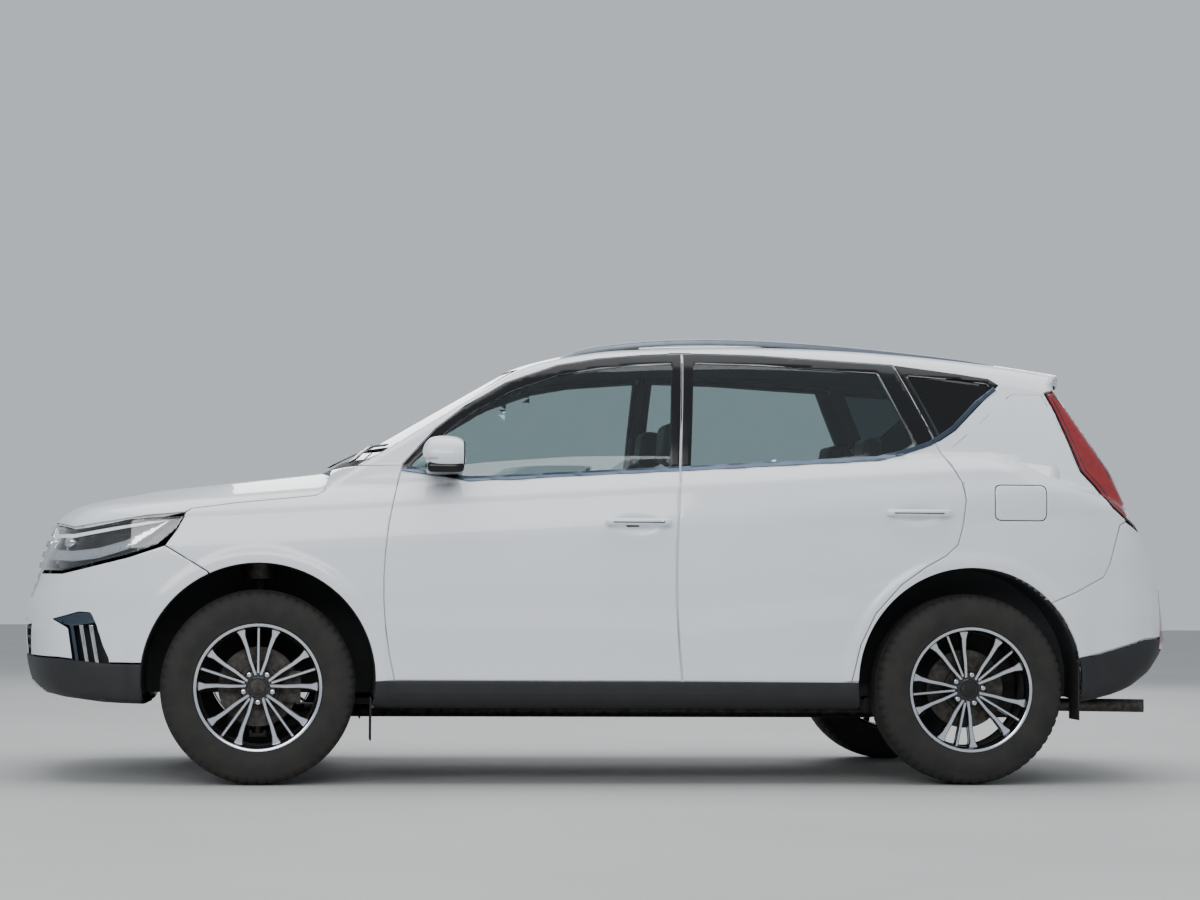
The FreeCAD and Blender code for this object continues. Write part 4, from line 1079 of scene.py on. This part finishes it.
disc = lathe("disc", [(60, 8), (84, 9), (86, -4), (150, -4), (151, -5), (151, -11), (150, -12),
                      (146, -12), (144, -14), (144, -24), (150, -24), (150, -26), (60, -26)], 96)
print("rim and hub turned")

# %% Tyre
tyre = lathe("tyre", [
    (228, 96), (234, 104), (243, 107), (247, 110.5), (262, 113), (268, 115.5), (290, 117.3),
    (312, 117), (316, 115.6), (330, 113), (338, 110), (347, 105), (353, 99), (359, 88),
    (363, 74), (364.8, 62), (358, 61), (358, 52), (365.4, 51), (366, 22), (358, 21), (358, 11),
    (366, 10), (366, -10), (358, -11), (358, -21), (366, -22), (365.4, -51), (358, -52),
    (358, -61), (364.8, -62), (363, -74), (359, -88), (353, -99), (347, -105), (338, -110),
    (312, -117), (290, -117.3), (262, -113), (243, -107), (234, -104), (228, -96), (222, -80),
    (216, 0), (222, 80)], 240)
places = coords(tyre)
radius = np.hypot(places[:, 0], places[:, 2])
turn = np.round(np.arctan2(places[:, 2], places[:, 0]) / (2 * math.pi) * 240).astype(int)
shoulder = (radius > 0.346) & (np.abs(places[:, 1]) > 0.0605)
sunk = shoulder & (turn % 4 == 0)
places[sunk] *= np.array([0.988, 0.985, 0.988])
set_coords(tyre, places)
print("tyre, blocks sunk into the shoulder", int(sunk.sum()))

# %% Four wheels
wheel_parts = [(bright, cut_alloy, 30), (black, wheel_black, 35), (lip, cut_alloy, 30),
               (barrel, wheel_black, 35), (hub, wheel_black, 35), (cap, gloss_black, 35),
               (nuts, chrome, 30), (disc, cast_iron, 30)]
for corner, x, side, turn in (("fl", -1, 1, 0), ("fr", -1, -1, 20), ("rl", 1, 1, -23),
                              ("rr", 1, -1, 35)):
    half_turn = Matrix.Rotation(0 if side > 0 else math.pi, 4, "Z")
    place = Matrix.Translation((x * AXLE_X * MM, -side * WHEEL_Y, WHEEL_Z))
    spin = Matrix.Rotation(math.radians(turn), 4, "Y")
    for part, material, angle in wheel_parts:
        piece = copied(part, "%s_%s" % (part.name, corner), place @ half_turn @ spin)
        finish(piece, material, "wheel_" + corner, angle=angle,
               replaces="wheel_" + corner if part is barrel else (),
               slot="alloy" if part is barrel else None)
    piece = copied(tyre, "tyre_skin_" + corner, place @ half_turn)
    finish(piece, tyre_rubber, "wheel_" + corner, angle=28,
           replaces="tyre_" + corner, slot="tyre_rubber")
for part in (bright, black, lip, barrel, hub, cap, nuts, disc, tyre):
    bpy.data.objects.remove(part)
print("wheels", len(PIECES))

# %% [markdown]
# ## Belt mouldings and glass
# The satin strip under the windows is a narrow band pressed three millimetres proud of the
# skin. The glass lies seven millimetres under the frames and is cut a little larger than
# its window, as a real pane runs in a rubber channel.

# %% Mouldings and panes
# The strips wear the satin chrome whose blue-grey base colour is a painted reflection of the sky.
for name, door, bodies in (("front", FRONT_DOOR, FRONT_DOORS),
                           ("rear", REAR_DOOR, REAR_DOORS),
                           ("quarter", [(1262, 1230), (1226, 1330), (1226, 1700), (1800, 1700),
                                        (1800, 1230)], ("root", "root"))):
    v_range = (1.145, 1.25 if name == "front" else 1.56)
    strip = curved_sheet("strip", "left", limits(door)[0], v_range, 0.009, -0.003, 0.006)
    trim(strip, [cutter(band(BELT, -8, 10), LEFT), cutter(shrunk(door, GAP), LEFT)], keep=True)
    pair(strip, "belt_strip_%s" % name, sky_tinted_belt_metal, bodies, bevel=0.0012)


def side_glass(stem, window, material, bodies, nodes):
    """A pane a little larger than its window, on both sides of the car."""
    pane = side_panel("pane", shrunk(softened(window, 14), -7), 0.03, 0.0072, 0.004)
    return pair(pane, stem, material, bodies, nodes)


side_glass("front_pane", FRONT_WINDOW, glass, FRONT_DOORS, ("door_glass_fl", "door_glass_fr"))
side_glass("rear_pane", REAR_WINDOW, glass, REAR_DOORS, ("door_glass_rl", "door_glass_rr"))
side_glass("quarter_pane", QUARTER_WINDOW, privacy, ("root", "root"), ("quarter_glass", ()))
SCREEN = [(-735, 1226), (-590, 1594), (-300, 1606), (0, 1610), (300, 1606), (590, 1594),
          (735, 1226)]
SCREEN_ANGLES = sector(30, 150)
SCREEN_AXIS = 0.7
fitted("windscreen_pane", ("over", (-1.13, -0.33), SCREEN_ANGLES, 0.03, 0.004, 0.005,
       SCREEN_AXIS), shrunk(SCREEN, -8), SCREEN_ON, glass, replaces="windscreen")
fitted("windscreen_border", ("over", (-1.13, -0.33), SCREEN_ANGLES, 0.03, 0.0095, 0.001,
       SCREEN_AXIS), shrunk(SCREEN, -6), SCREEN_ON, gloss_black,
       cut=[cutter(softened(shrunk(SCREEN, 24), 50), SCREEN_ON)])
cowl_cover = curved_sheet("cowl_cover", "over", (-1.13, -0.88), SCREEN_ANGLES, 0.014, 0.0015,
                          0.005, SCREEN_AXIS)
trim(cowl_cover, [cutter([(-708, 1150), (-708, 1228), (-590, 1235), (0, 1237), (590, 1235),
                          (708, 1228), (708, 1150)], SCUTTLE_ON),
                  rear_edge(REAR_EDGE - 0.0025)], keep=True)
finish(cowl_cover, cladding, bevel=0.0011)
fitted("rear_window_pane", ("round", sector(-38, 38), (1.2, 1.56), 0.03, 0.0045, 0.004,
       GATE_AXIS), shrunk(rear_line, -8), GATE_ON, privacy, "tailgate",
       replaces="tailgate_glass", slot="window_glass")
print("glass", len(PIECES))

# %% [markdown]
# ## Sills and skirts
# The lowest band of the body is unpainted plastic: a sill between the wheels and a skirt
# under each bumper, both cut by the drums of the wheel arches.

# %% Sills and skirts
sill = side_panel("sill_l", [(-932, 284), (-926, 392), (936, 392), (942, 284)], 0.02, -0.001,
                  0.006)
trim(sill, [wheel_arch(-1), wheel_arch(1)])
pair(sill, "sill", cladding, bevel=0.0015)
fitted("front_skirt", ("round", NOSE_TURN, (0.284, 0.472), 0.016, 0.0, 0.005, NOSE_AXIS),
       [(-2400, 471), (-2113, 467), (-2039, 460), (-1918, 450), (-1600, 450), (-1600, 284),
        (-2400, 284)], ACROSS, cladding, cut=[wheel_arch(-1)], bevel=0.0015)
fitted("rear_skirt", ("round", TAIL_TURN, (0.312, 0.58), 0.016, 0.0, 0.005, TAIL_AXIS),
       [(1560, 466), (1779, 484), (1878, 504), (1997, 536), (2077, 558), (2400, 576),
        (2400, 310), (1560, 310)], ACROSS, cladding, cut=[wheel_arch(1)], bevel=0.0015)
print("sills and skirts", len(PIECES))

# %% [markdown]
# ## Lamps
# A lamp is a clear or red cover over a dark bowl. The cover is pressed from the same skin as
# the wing, the bowl lies deeper, and the reflectors stand between them. The centre of the
# car is cut away, which leaves one cover on each side.

# %% Headlamps


def nose_piece(name, line, depth, thickness, heights, material, pitch=0.014, cut=(), **rest):
    """A finished sheet of a lamp or a fog recess, on both sides of the grille."""
    return fitted(name, ("round", sector(95, 265), heights, pitch, depth, thickness, NOSE_AXIS),
                  line, ACROSS, material, cut=[cutter(shrunk(GRILLE_EDGE, -14), NOSE_ON), *cut],
                  **rest)


LAMP_HEIGHTS = (0.785, 1.02)
nose_piece("headlamp_covers", shrunk(HEADLAMP, GAP), 0.0, 0.003, LAMP_HEIGHTS, clear_lens,
           replaces="headlamps", bevel=0.001)
nose_piece("headlamp_bowls", shrunk(HEADLAMP, 4), 0.045, 0.003, LAMP_HEIGHTS, gloss_black)
nose_piece("headlamp_rims", shrunk(HEADLAMP, 4), 0.005, 0.04, LAMP_HEIGHTS, gloss_black,
           cut=[cutter(shrunk(HEADLAMP, 11), ACROSS)])
nose_piece("headlamp_reflectors", [(-2180, 880), (-2060, 872), (-1960, 884), (-1860, 912),
                                   (-1760, 962), (-1690, 992), (-1730, 962), (-1790, 918),
                                   (-1850, 880), (-1960, 846), (-2060, 832), (-2180, 840)],
           0.018, 0.012, (0.8, 1.0), chrome, bevel=0.001)
nose_piece("daylight_strips", [(-2180, 938), (-2054, 936), (-1886, 966), (-1775, 984),
                               (-1690, 990), (-1775, 974), (-1886, 954), (-2054, 922),
                               (-2180, 924)], 0.012, 0.008, (0.88, 1.0), lamp_white,
           bevel=0.0008)
for side, letter in ((-1, "l"), (1, "r")):
    for k, (x, y, z) in enumerate(((-2.065, 0.665, 0.905), (-1.965, 0.735, 0.925))):
        bpy.ops.mesh.primitive_uv_sphere_add(segments=32, ring_count=16, radius=0.03,
                                             location=(x, side * y, z))
        bulb = bpy.context.object
        bulb.name = "projector_%d_%s" % (k, letter)
        settle(bulb)
        finish(bulb, clear_lens if k else chrome)
print("lamps", len(PIECES))

# %% [markdown]
# ## Grille
# A grille is a moulded panel: a dark back, level bars before it and a bright frame. The back
# lies four centimetres deep in the opening, and the frame is a thick sheet, kept inside the
# opening's outline moved outwards and cut by the same outline moved inwards.

# %% Grille
fitted("grille_back", ("round", sector(150, 210), (0.7, 0.98), 0.03, 0.04, 0.004, NOSE_AXIS),
       GRILLE_EDGE, NOSE_ON, black_steel, replaces="grille", slot="black_trim")


def level_bars(name, angles, line, heights, half, pitch, depths, thickness, material, bevel):
    """Level bars across the nose inside an outline, as one piece."""
    bars = []
    for k, z in enumerate(heights):
        bar = curved_sheet("bar", "round", angles, (z - half, z + half), pitch,
                           depths[k % 2], thickness, NOSE_AXIS)
        bars.append(trim(bar, [cutter(line, NOSE_ON)], keep=True))
    finish(joined(name, bars), material, bevel=bevel)


level_bars("grille_bars", sector(150, 210), shrunk(GRILLE_EDGE, 8),
           [0.735 + k * 0.042 for k in range(6)], 0.011, 0.011, (0.004, 0.006), 0.02,
           gloss_black, 0.002)
fitted("grille_surround", ("round", sector(145, 215), (0.68, 1.0), 0.014, -0.003, 0.03,
       NOSE_AXIS), softened(shrunk(GRILLE_EDGE, -12), 24), NOSE_ON, chrome, bevel=0.002,
       cut=[cutter(softened(shrunk(GRILLE_EDGE, 4), 20), NOSE_ON)])
print("grille", len(PIECES))

# %% [markdown]
# ## Tail lamps
# The red cover wraps round the corner over a black bowl. A black rim and a deep red light
# guide are rings just proud of the cover, each an outline less the same outline moved in, and
# a pale reversing lamp sits low beside the tailgate.

# %% Tail lamps
for name, depth, thickness, outer, cuts, material, bevel in (
        ("tail_lamp_covers", 0.0, 0.004, GAP, (None, GAP), red_lens, 0.001),
        ("tail_lamp_bowls", 0.022, 0.004, 3, (None, GAP), gloss_black, 0.001),
        ("tail_lamp_rims", -0.0006, 0.003, 2.6, (7.5, 14), gloss_black, 0.0005),
        ("tail_lamp_guides", -0.0004, 0.003, 17, (22, 14), deep_red, 0.0005)):
    inner, gate_gap = cuts
    fitted(name, ("round", TAIL_TURN, (0.97, 1.55), 0.012, depth, thickness, TAIL_AXIS),
           shrunk(TAIL_LAMP, outer), ACROSS, material, bevel=bevel,
           replaces="tail_lamps" if depth == 0 else (),
           cut=([cutter(shrunk(TAIL_LAMP, inner), ACROSS)] if inner else [])
           + [cutter(both_halves(TAILGATE, gate_gap), LAMPS_ON)])
fitted("reverse_lamps", ("round", TAIL_TURN, (0.99, 1.12), 0.01, -0.0005, 0.003, TAIL_AXIS),
       [(1990, 1032), (2050, 1000), (2112, 994), (2112, 1032), (2050, 1046), (1985, 1066)],
       ACROSS, blank_plate, bevel=0.0005,
       cut=[cutter([(-700, 900), (-700, 1200), (700, 1200), (700, 900)], LAMPS_ON)])
print("tail lamps", len(PIECES))

# %% [markdown]
# ## Fog recesses and the lower intake
# The bumper's corner is cut out and lined with a deeper black sheet. A grey wedge roof hangs
# over the opening, and three slanted bright bars stand in it. The intake in the middle is a
# dark sheet behind five level bars, over a silver skid plate.

# %% Fog recesses, intake and skid plate
nose_piece("fog_pockets", shrunk(FOG, -12), 0.05, 0.003, (0.42, 0.67), cladding, 0.016,
           replaces="fog_lamps", slot="lamp_glass")
nose_piece("fog_pocket_rims", shrunk(FOG, -4), 0.004, 0.048, (0.42, 0.67), cladding, 0.016,
           cut=[cutter(shrunk(FOG, 2), ACROSS)])
# The wedges and the first blade wear the satin chrome whose blue-grey base colour is a painted
# reflection of the sky.
nose_piece("fog_wedges", [(-2150, 612), (-2031, 642), (-1984, 640), (-1965, 604), (-2060, 590)],
           0.006, 0.02, (0.57, 0.66), sky_tinted_belt_metal, bevel=0.002)
for k in range(3):
    x = -2062 + 38 * k
    nose_piece("fog_blades_%d" % k, [(x - 8, 596), (x + 8, 594), (x + 34, 446), (x + 20, 446)],
               0.008, 0.014, (0.43, 0.62), chrome if k else sky_tinted_belt_metal, bevel=0.0015)
fitted("intake_back", ("round", sector(140, 220), (0.39, 0.63), 0.02, 0.045, 0.003, NOSE_AXIS),
       shrunk(INTAKE, -16), NOSE_ON, black_steel)
level_bars("intake_bars", sector(140, 220), shrunk(INTAKE, -3),
           [0.43 + k * 0.037 for k in range(5)], 0.006, 0.012, (0.008, 0.008), 0.016, cladding,
           0.0015)
fitted("skid_plate", ("round", sector(150, 210), (0.29, 0.385), 0.016, -0.0035, 0.006,
       NOSE_AXIS), softened([(-430, 375), (-470, 292), (470, 292), (430, 375)], 16), NOSE_ON,
       silver_paint, bevel=0.0015)
print("fog recesses, intake and skid plate", len(PIECES))

# %% [markdown]
# ## Roof rails, mirrors and handles
# The rail is a drawn section swept along a curve that dives into the roof at both ends. The
# mirror cap and the handles start as cubes, rounded by subdivision and pushed into shape.

# %% Sweeping a section


def swept(name, path, section, resolution=6):
    """A section of (sideways, up) points in millimetres swept along a path in metres."""
    lines = []
    for kind, points in (("path", path), ("section", [(u * MM, v * MM, 0) for u, v in section])):
        data = bpy.data.curves.new(name + kind, "CURVE")
        data.dimensions = "3D" if kind == "path" else "2D"
        spline = data.splines.new("NURBS" if kind == "path" else "POLY")
        spline.points.add(len(points) - 1)
        for point, place in zip(spline.points, points):
            point.co = (*place, 1)
        if kind == "path":
            spline.order_u = 4
            spline.use_endpoint_u = True
            spline.resolution_u = resolution
            data.twist_mode = "Z_UP"
            data.use_fill_caps = True
        else:
            spline.use_cyclic_u = True
        obj = bpy.data.objects.new(name + kind, data)
        bpy.context.scene.collection.objects.link(obj)
        lines.append(obj)
    lines[0].data.bevel_mode = "OBJECT"
    lines[0].data.bevel_object = lines[1]
    pick(lines[0])
    bpy.ops.object.convert(target="MESH")
    result = bpy.context.object
    result.name = name
    bpy.data.objects.remove(lines[1])
    outwards(result, merge=1e-5)
    return result


print("sweeping helper ready")

# %% Roof rails
rail_top = [(-0.215, 1.632), (-0.19, 1.655), (-0.126, 1.675), (-0.048, 1.694), (0.15, 1.716),
            (0.348, 1.7255), (0.587, 1.7235), (0.867, 1.708), (1.148, 1.685), (1.35, 1.664),
            (1.49, 1.647), (1.55, 1.628), (1.58, 1.608)]
rail_y = [0.598, 0.594, 0.588, 0.582, 0.578, 0.576, 0.575, 0.574, 0.572, 0.57, 0.568, 0.568,
          0.568]
section = softened([(-16, -24), (-13, -2), (-6, 2), (8, 2), (15, -3), (17, -24)], 5, 3)
rail = swept("roof_rail_l", [(x, -y, z) for (x, z), y in zip(rail_top, rail_y)], section, 8)
pair(rail, "roof_rail", rail_metal, replaces=("roof_rails", ()), slot="rail_metal")
for k, (x0, x1) in enumerate(((-0.2, 0.1), (1.27, 1.56))):
    zs = [p[1] for p in rail_top]
    xs = [p[0] for p in rail_top]
    foot = swept("rail_foot", [(x, -0.582 + 0.006 * k, float(np.interp(x, xs, zs)) - 0.02)
                               for x in np.linspace(x0, x1, 8)],
                 softened([(-14, -24), (-13, 2), (13, 2), (14, -24)], 4, 2))
    pair(foot, "rail_foot_%d" % k, gloss_black)
print("roof rails", len(PIECES))

# %% A soft block


def soft_block(name, low, high, levels=2, bevel=0.3):
    """A cube with bevelled edges and subdivision, between two corners in metres."""
    size = [b - a for a, b in zip(low, high)]
    bpy.ops.mesh.primitive_cube_add(size=1, location=[(a + b) / 2 for a, b in zip(low, high)])
    obj = bpy.context.object
    obj.name = name
    obj.scale = size
    settle(obj)
    use_modifier(obj, "BEVEL", width=min(size) * bevel, segments=2, limit_method="NONE")
    use_modifier(obj, "SUBSURF", levels=levels, render_levels=levels)
    return obj


print("soft block ready")

# %% Mirrors
mirror = soft_block("mirror_cap_l", (-0.758, -1.053, 1.2), (-0.585, -0.9, 1.325), 2, 0.42)
places = coords(mirror)
slide = (places[:, 2] - 1.2) / 0.125
places[:, 0] += 0.03 * (1 - slide) * (places[:, 0] > -0.67) * 0.4
places[:, 2] += 0.02 * np.clip((places[:, 1] + 0.9) / 0.15, -1, 0)
set_coords(mirror, places)
CAP_BACK = -0.606
glass_frame = copied(mirror, "mirror_frame")
looking = copied(mirror, "mirror_glass", Matrix.Translation((0, -0.972 * 0.1, 1.268 * 0.1))
                 @ Matrix.Diagonal((1, 0.9, 0.9, 1)))
for piece, low, high in ((mirror, -0.8, CAP_BACK), (glass_frame, CAP_BACK + 0.0004, -0.6),
                         (looking, -0.5998, -0.5975)):
    trim(piece, [cutter([(low / MM, 1100), (high / MM, 1100), (high / MM, 1400),
                         (low / MM, 1400)], ("xz", -1.2, -0.8))], keep=True)
pair(glass_frame, "mirror_frame", gloss_black, FRONT_DOORS, bevel=0.001)
pair(looking, "mirror_glass", chrome, FRONT_DOORS)
pair(mirror, "mirror_cap", paint, FRONT_DOORS, ("mirror_l", "mirror_r"), slot="body_paint")
lower = soft_block("mirror_base_l", (-0.745, -1.04, 1.17), (-0.6, -0.8, 1.222), 2, 0.4)
pair(lower, "mirror_base", gloss_black, FRONT_DOORS)
blade = soft_block("mirror_lamp_l", (-0.757, -1.048, 1.222), (-0.7, -0.94, 1.231), 2, 0.3)
pair(blade, "mirror_lamp", clear_lens, FRONT_DOORS)
print("mirrors", len(PIECES))

# %% Door handles
for name, x, z, bodies in (("front", 0.067, 0.998, FRONT_DOORS),
                           ("rear", 1.146, 1.042, REAR_DOORS)):
    handle = soft_block("handle", (x - 0.128, -0.952, z - 0.013), (x + 0.125, -0.931, z + 0.014),
                        2, 0.45)
    places = coords(handle)
    drop = np.clip((np.abs(places[:, 0] - x) - 0.06) / 0.065, 0, 1) ** 2
    places[:, 1] += drop * 0.012
    set_coords(handle, places)
    pair(handle, "handle_%s" % name, paint, bodies)
    inlay = soft_block("inlay", (x - 0.1, -0.9535, z - 0.0035), (x + 0.095, -0.944, z + 0.0015),
                       1, 0.3)
    pair(inlay, "handle_inlay_%s" % name, sky_tinted_belt_metal, bodies)
    for k, end in enumerate((-0.108, 0.105)):
        foot = soft_block("foot", (x + end - 0.016, -0.94, z - 0.01),
                          (x + end + 0.016, -0.9, z + 0.011), 1, 0.4)
        pair(foot, "handle_foot_%s_%d" % (name, k), paint, bodies)
lock = drum("door_lock_l", 0.158, 0.9985, 0.0058, -0.9505, -0.94)
rounded(lock, 0.0008)
pair(lock, "door_lock", chrome, FRONT_DOORS)
print("rails, mirrors and handles", len(PIECES))

# %% [markdown]
# ## The structure behind the skin
# Behind every outer panel lies its inner structure, and it shows when a door or the tailgate
# is open. The CAD pieces have its real thickness, so each is copied, its vertices are sunk
# just under the skin, and its faces are painted by their depth: enamel in the shallow part of
# the shut lines, and a dark finish deeper in, which is real trim inside the cabin and painted
# shade down in the shut lines. The chassis pieces are copied with a small round on their edges.

# %% Copying a CAD node


def node_copy(node, name):
    """A copy of a CAD node's mesh in its own place, doubles merged."""
    twin = copied(NODES[node], name, NODES[node].matrix_world)
    twin.parent = None
    twin.animation_data_clear()
    twin.matrix_world = Matrix()
    twin.hide_render = False
    twin.hide_viewport = False
    for key in [k for k in twin.keys() if k.startswith("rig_")]:
        del twin[key]
    outwards(twin, merge=1e-5)
    return twin


print("copying a CAD node ready")

# %% Cores
# Faces deeper than these under the skin take the dark inner finish: real trim inside the cabin
# and round the windows, and painted shade deep in the shut lines.
SHUT_SHADE_DEPTH = 0.034
FRAME_DEPTH = 0.009


def core(node, name, body, slot, outer=paint, inner=dash_grain, depth=0.0075):
    """The inner structure of a panel: sunk under the skin, painted by depth; deep faces are dark
    trim and painted shade.
    """
    obj = node_copy(node, name)
    places = coords(obj)
    for _ in range(3):
        over = skin(places) + depth
        high = over > 0
        if high.any():
            places[high] -= skin_normals(places[high]) * over[high][:, None]
    set_coords(obj, places)
    obj.data.materials.clear()
    obj.data.materials.append(outer)
    obj.data.materials.append(inner)
    middles = np.array([p.center[:] for p in obj.data.polygons])
    under = skin(middles)
    x, z = middles[:, 0], middles[:, 2]
    over_belt = z > np.interp(x, [-0.83, -0.57, 1.0, 1.5], [1.19, 1.15, 1.245, 1.53])
    # Deep faces get the dark inner material, which is real trim in the cabin and painted shade
    # down in the shut lines.
    trim_and_shade_faces = (under < -SHUT_SHADE_DEPTH) | (over_belt & (under < -FRAME_DEPTH) & (x > -0.9) & (x < 1.5))
    for polygon, inside in zip(obj.data.polygons, trim_and_shade_faces):
        polygon.material_index = int(inside)
    finish(obj, None, body, replaces=node, slot=slot, angle=30)


for side in "lr":
    core("door_f" + side, "front_door_core_" + side, "door_f" + side, "body_paint")
    core("door_r" + side, "rear_door_core_" + side, "door_r" + side, "body_paint")
core("body_shell", "body_core", "root", "body_paint", inner=headliner)
core("tailgate", "tailgate_core", "tailgate", "body_paint")
core("bonnet", "bonnet_core", "bonnet", "body_paint", inner=black_steel)
core("rear_bumper", "rear_bumper_core", "root", "body_paint", inner=black_steel)
core("fenders", "wing_core", "root", "body_paint", inner=black_steel)
core("lower_cladding", "sill_core", "root", "cladding_plastic", cladding, cladding)
core("cowl", "cowl_core", "root", "cladding_plastic", cladding, cladding, 0.01)
print("cores", len(PIECES))

# %% Chassis and cabin pieces
for material, body, nodes in (
        (black_steel, "root", ("floor_pan", "rear_axle", "front_subframe", "front_frame",
                               "bulkhead", "engine_block")),
        (cladding, "root", ("wheel_houses",)), (cast_iron, "root", ("exhaust",)),
        (cast_iron, "knuckle_l", ("knuckle_l",)), (cast_iron, "knuckle_r", ("knuckle_r",)),
        (rubber, "root", ("mud_flaps",)), (dash_grain, "root", ("dashboard",)),
        (dash_grain, "steering_wheel", ("steering_wheel",))):
    for node in nodes:
        finish(rounded(node_copy(node, node + "_finished"), 0.0012, 1, 45), material, body,
               replaces=node, angle=32)
print("inner structure", len(PIECES))

# %% [markdown]
# ## Plates, wipers and reflectors
# Both plates are blank and follow the panel behind them. The wipers rest low on the glass:
# an arm from its pivot and a blade, cut from a sheet that floats a few millimetres off the
# pane. The upright red reflectors are let into the corners of the rear bumper.

# %% Plates, wipers and reflectors
fitted("front_plate", ("round", sector(150, 210), (0.46, 0.59), 0.02, 0.0045, 0.003,
       NOSE_AXIS), softened([(-260, 470), (-260, 580), (260, 580), (260, 470)], 8), NOSE_ON,
       blank_plate, bevel=0.0008)
fitted("rear_plate", ("round", sector(-30, 30), (0.84, 0.99), 0.02, -0.0035, 0.003, GATE_AXIS),
       softened([(-260, 862), (-260, 972), (260, 972), (260, 862)], 8), LAMPS_ON, blank_plate,
       "tailgate", bevel=0.0008)
fitted("tailgate_trim_bar", ("round", sector(-36, 36), (0.97, 1.03), 0.016, -0.004, 0.005,
       GATE_AXIS), softened([(-420, 990), (-430, 1010), (430, 1010), (420, 990)], 6), LAMPS_ON,
       gloss_black, "tailgate", bevel=0.001)


def bar_line(start, end, w0, w1):
    """Slim tapered outline from start to end, widths in millimetres."""
    (ya, za), (yb, zb) = start, end
    length = math.hypot(yb - ya, zb - za)
    ny, nz = -(zb - za) / length, (yb - ya) / length
    return [(ya + ny * w0, za + nz * w0), (yb + ny * w1, zb + nz * w1),
            (yb - ny * w1, zb - nz * w1), (ya - ny * w0, za - nz * w0)]


for name, start, middle, end in (("left", (-610, 1228), (-655, 1290), (-130, 1296)),
                                 ("right", (60, 1232), (20, 1312), (520, 1300))):
    centre = ((middle[0] + end[0]) / 2, (middle[1] + end[1]) / 2)
    for part, line, material, depth in (
            ("blade", bar_line(middle, end, 5, 4), rubber, -0.009),
            ("arm", bar_line(start, centre, 9, 5), gloss_black, -0.015)):
        fitted("wiper_%s_%s" % (part, name), ("over", (-1.12, -0.86), SCREEN_ANGLES, 0.014, depth,
               0.006, SCREEN_AXIS), line, SCREEN_ON, material, bevel=0.001)
for part, line, material, depth in (
        ("blade", bar_line((-20, 1226), (330, 1232), 5, 4), rubber, -0.006),
        ("arm", bar_line((0, 1196), (200, 1232), 10, 5), gloss_black, -0.011)):
    fitted("rear_wiper_" + part, ("round", sector(-36, 36), (1.15, 1.28), 0.014, depth, 0.005,
           GATE_AXIS), line, GATE_ON, material, "tailgate", bevel=0.001)
fitted("rear_reflectors", ("round", TAIL_TURN, (0.51, 0.77), 0.012, -0.0008, 0.003, TAIL_AXIS),
       softened([(2158, 522), (2196, 517), (2204, 750), (2172, 755)], 6), ACROSS, red_lens,
       bevel=0.0008)
print("plates and wipers", len(PIECES))

# %% [markdown]
# ## Seats
# A car seat is foam under stitched cloth. The real shape comes from the foam, so each copy is
# remeshed to an even grid and smoothed until it is round like foam. Then the stitch lines are
# drawn in: every vertex near a seam is drawn under along its own normal, which leaves soft
# swollen panels between the seams.

# %% Seats


FLUTE_PITCH = 0.088


def seat_cover(node, name, middles, half):
    """Padded copy of a seat with seams at plus or minus half from each middle line."""
    obj = node_copy(node, name)
    use_modifier(obj, "REMESH", mode="VOXEL", voxel_size=0.011, adaptivity=0.0)
    use_modifier(obj, "SMOOTH", factor=0.5, iterations=7)
    places = coords(obj)
    normals = np.empty(len(obj.data.vertices) * 3)
    obj.data.vertices.foreach_get("normal", normals)
    normals = normals.reshape(-1, 3)
    across = np.min([np.abs(places[:, 1] - m) for m in middles], axis=0)
    seam = np.exp(-((across - half) / 0.009) ** 2)
    along = np.where(places[:, 2] > 0.64, places[:, 2], places[:, 0])
    inner = across < half
    rows = np.abs((along / FLUTE_PITCH) % 1.0 - 0.5) * FLUTE_PITCH
    flute = np.exp(-(rows / 0.0075) ** 2) * inner
    faces_in = ((normals[:, 0] < -0.2) | (normals[:, 2] > 0.5)) & (places[:, 2] < 1.19)
    sink = (0.009 * seam + 0.006 * flute * (seam < 0.3)) * faces_in
    set_coords(obj, places - normals * sink[:, None])
    return finish(obj, seat_cloth, replaces=node, angle=60)


seat_cover("front_seats", "front_seat_covers", (-0.37, 0.37), 0.15)
seat_cover("rear_seat", "rear_seat_cover", (-0.38, 0.0, 0.38), 0.155)
print("seats", len(PIECES))

# %% [markdown]
# ## Floor and light
# The floor is a wide pale level sheet that runs to the horizon. One large lamp overhead
# stands in for the sky, a low one on the camera's side lights the doors softly, and a third
# behind lifts the edge of the roof.

# %% Studio
bpy.ops.mesh.primitive_plane_add(size=1, location=(0, 0, 0))
floor = bpy.context.object
floor.name = "studio_floor"
floor.scale = (60, 60, 1)
settle(floor)
floor.data.materials.append(new_material("pale_studio_floor", "#b9bab8", 0.75, None,
                                         ("#aeafad", 0.7, 0.3)))


def soft_lamp(name, place, target, size, power):
    """A square area lamp aimed at a point."""
    data = bpy.data.lights.new(name, "AREA")
    data.shape = "RECTANGLE"
    data.size, data.size_y = size
    data.energy = power
    lamp = bpy.data.objects.new(name, data)
    bpy.context.scene.collection.objects.link(lamp)
    lamp.location = place
    lamp.rotation_euler = (Vector(target) - Vector(place)).to_track_quat("-Z", "Y").to_euler()
    return lamp


lamps = [soft_lamp("sky_lamp", (0, 0, 7), (0, 0, 0), (9, 8), 520),
         soft_lamp("side_lamp", (-3, -9, 4.5), (0, 0, 0.8), (9, 3), 420),
         soft_lamp("back_lamp", (2, 9, 4), (0, 0, 1), (8, 3), 260)]
world = bpy.data.worlds.new("studio_air")
bpy.context.scene.world = world
world.use_nodes = True
world.node_tree.nodes["Background"].inputs["Color"].default_value = to_linear("#dfe6ee")
world.node_tree.nodes["Background"].inputs["Strength"].default_value = 0.75
print("floor and", len(lamps), "lamps")

# %% Count of pieces
print("pieces", len(PIECES))
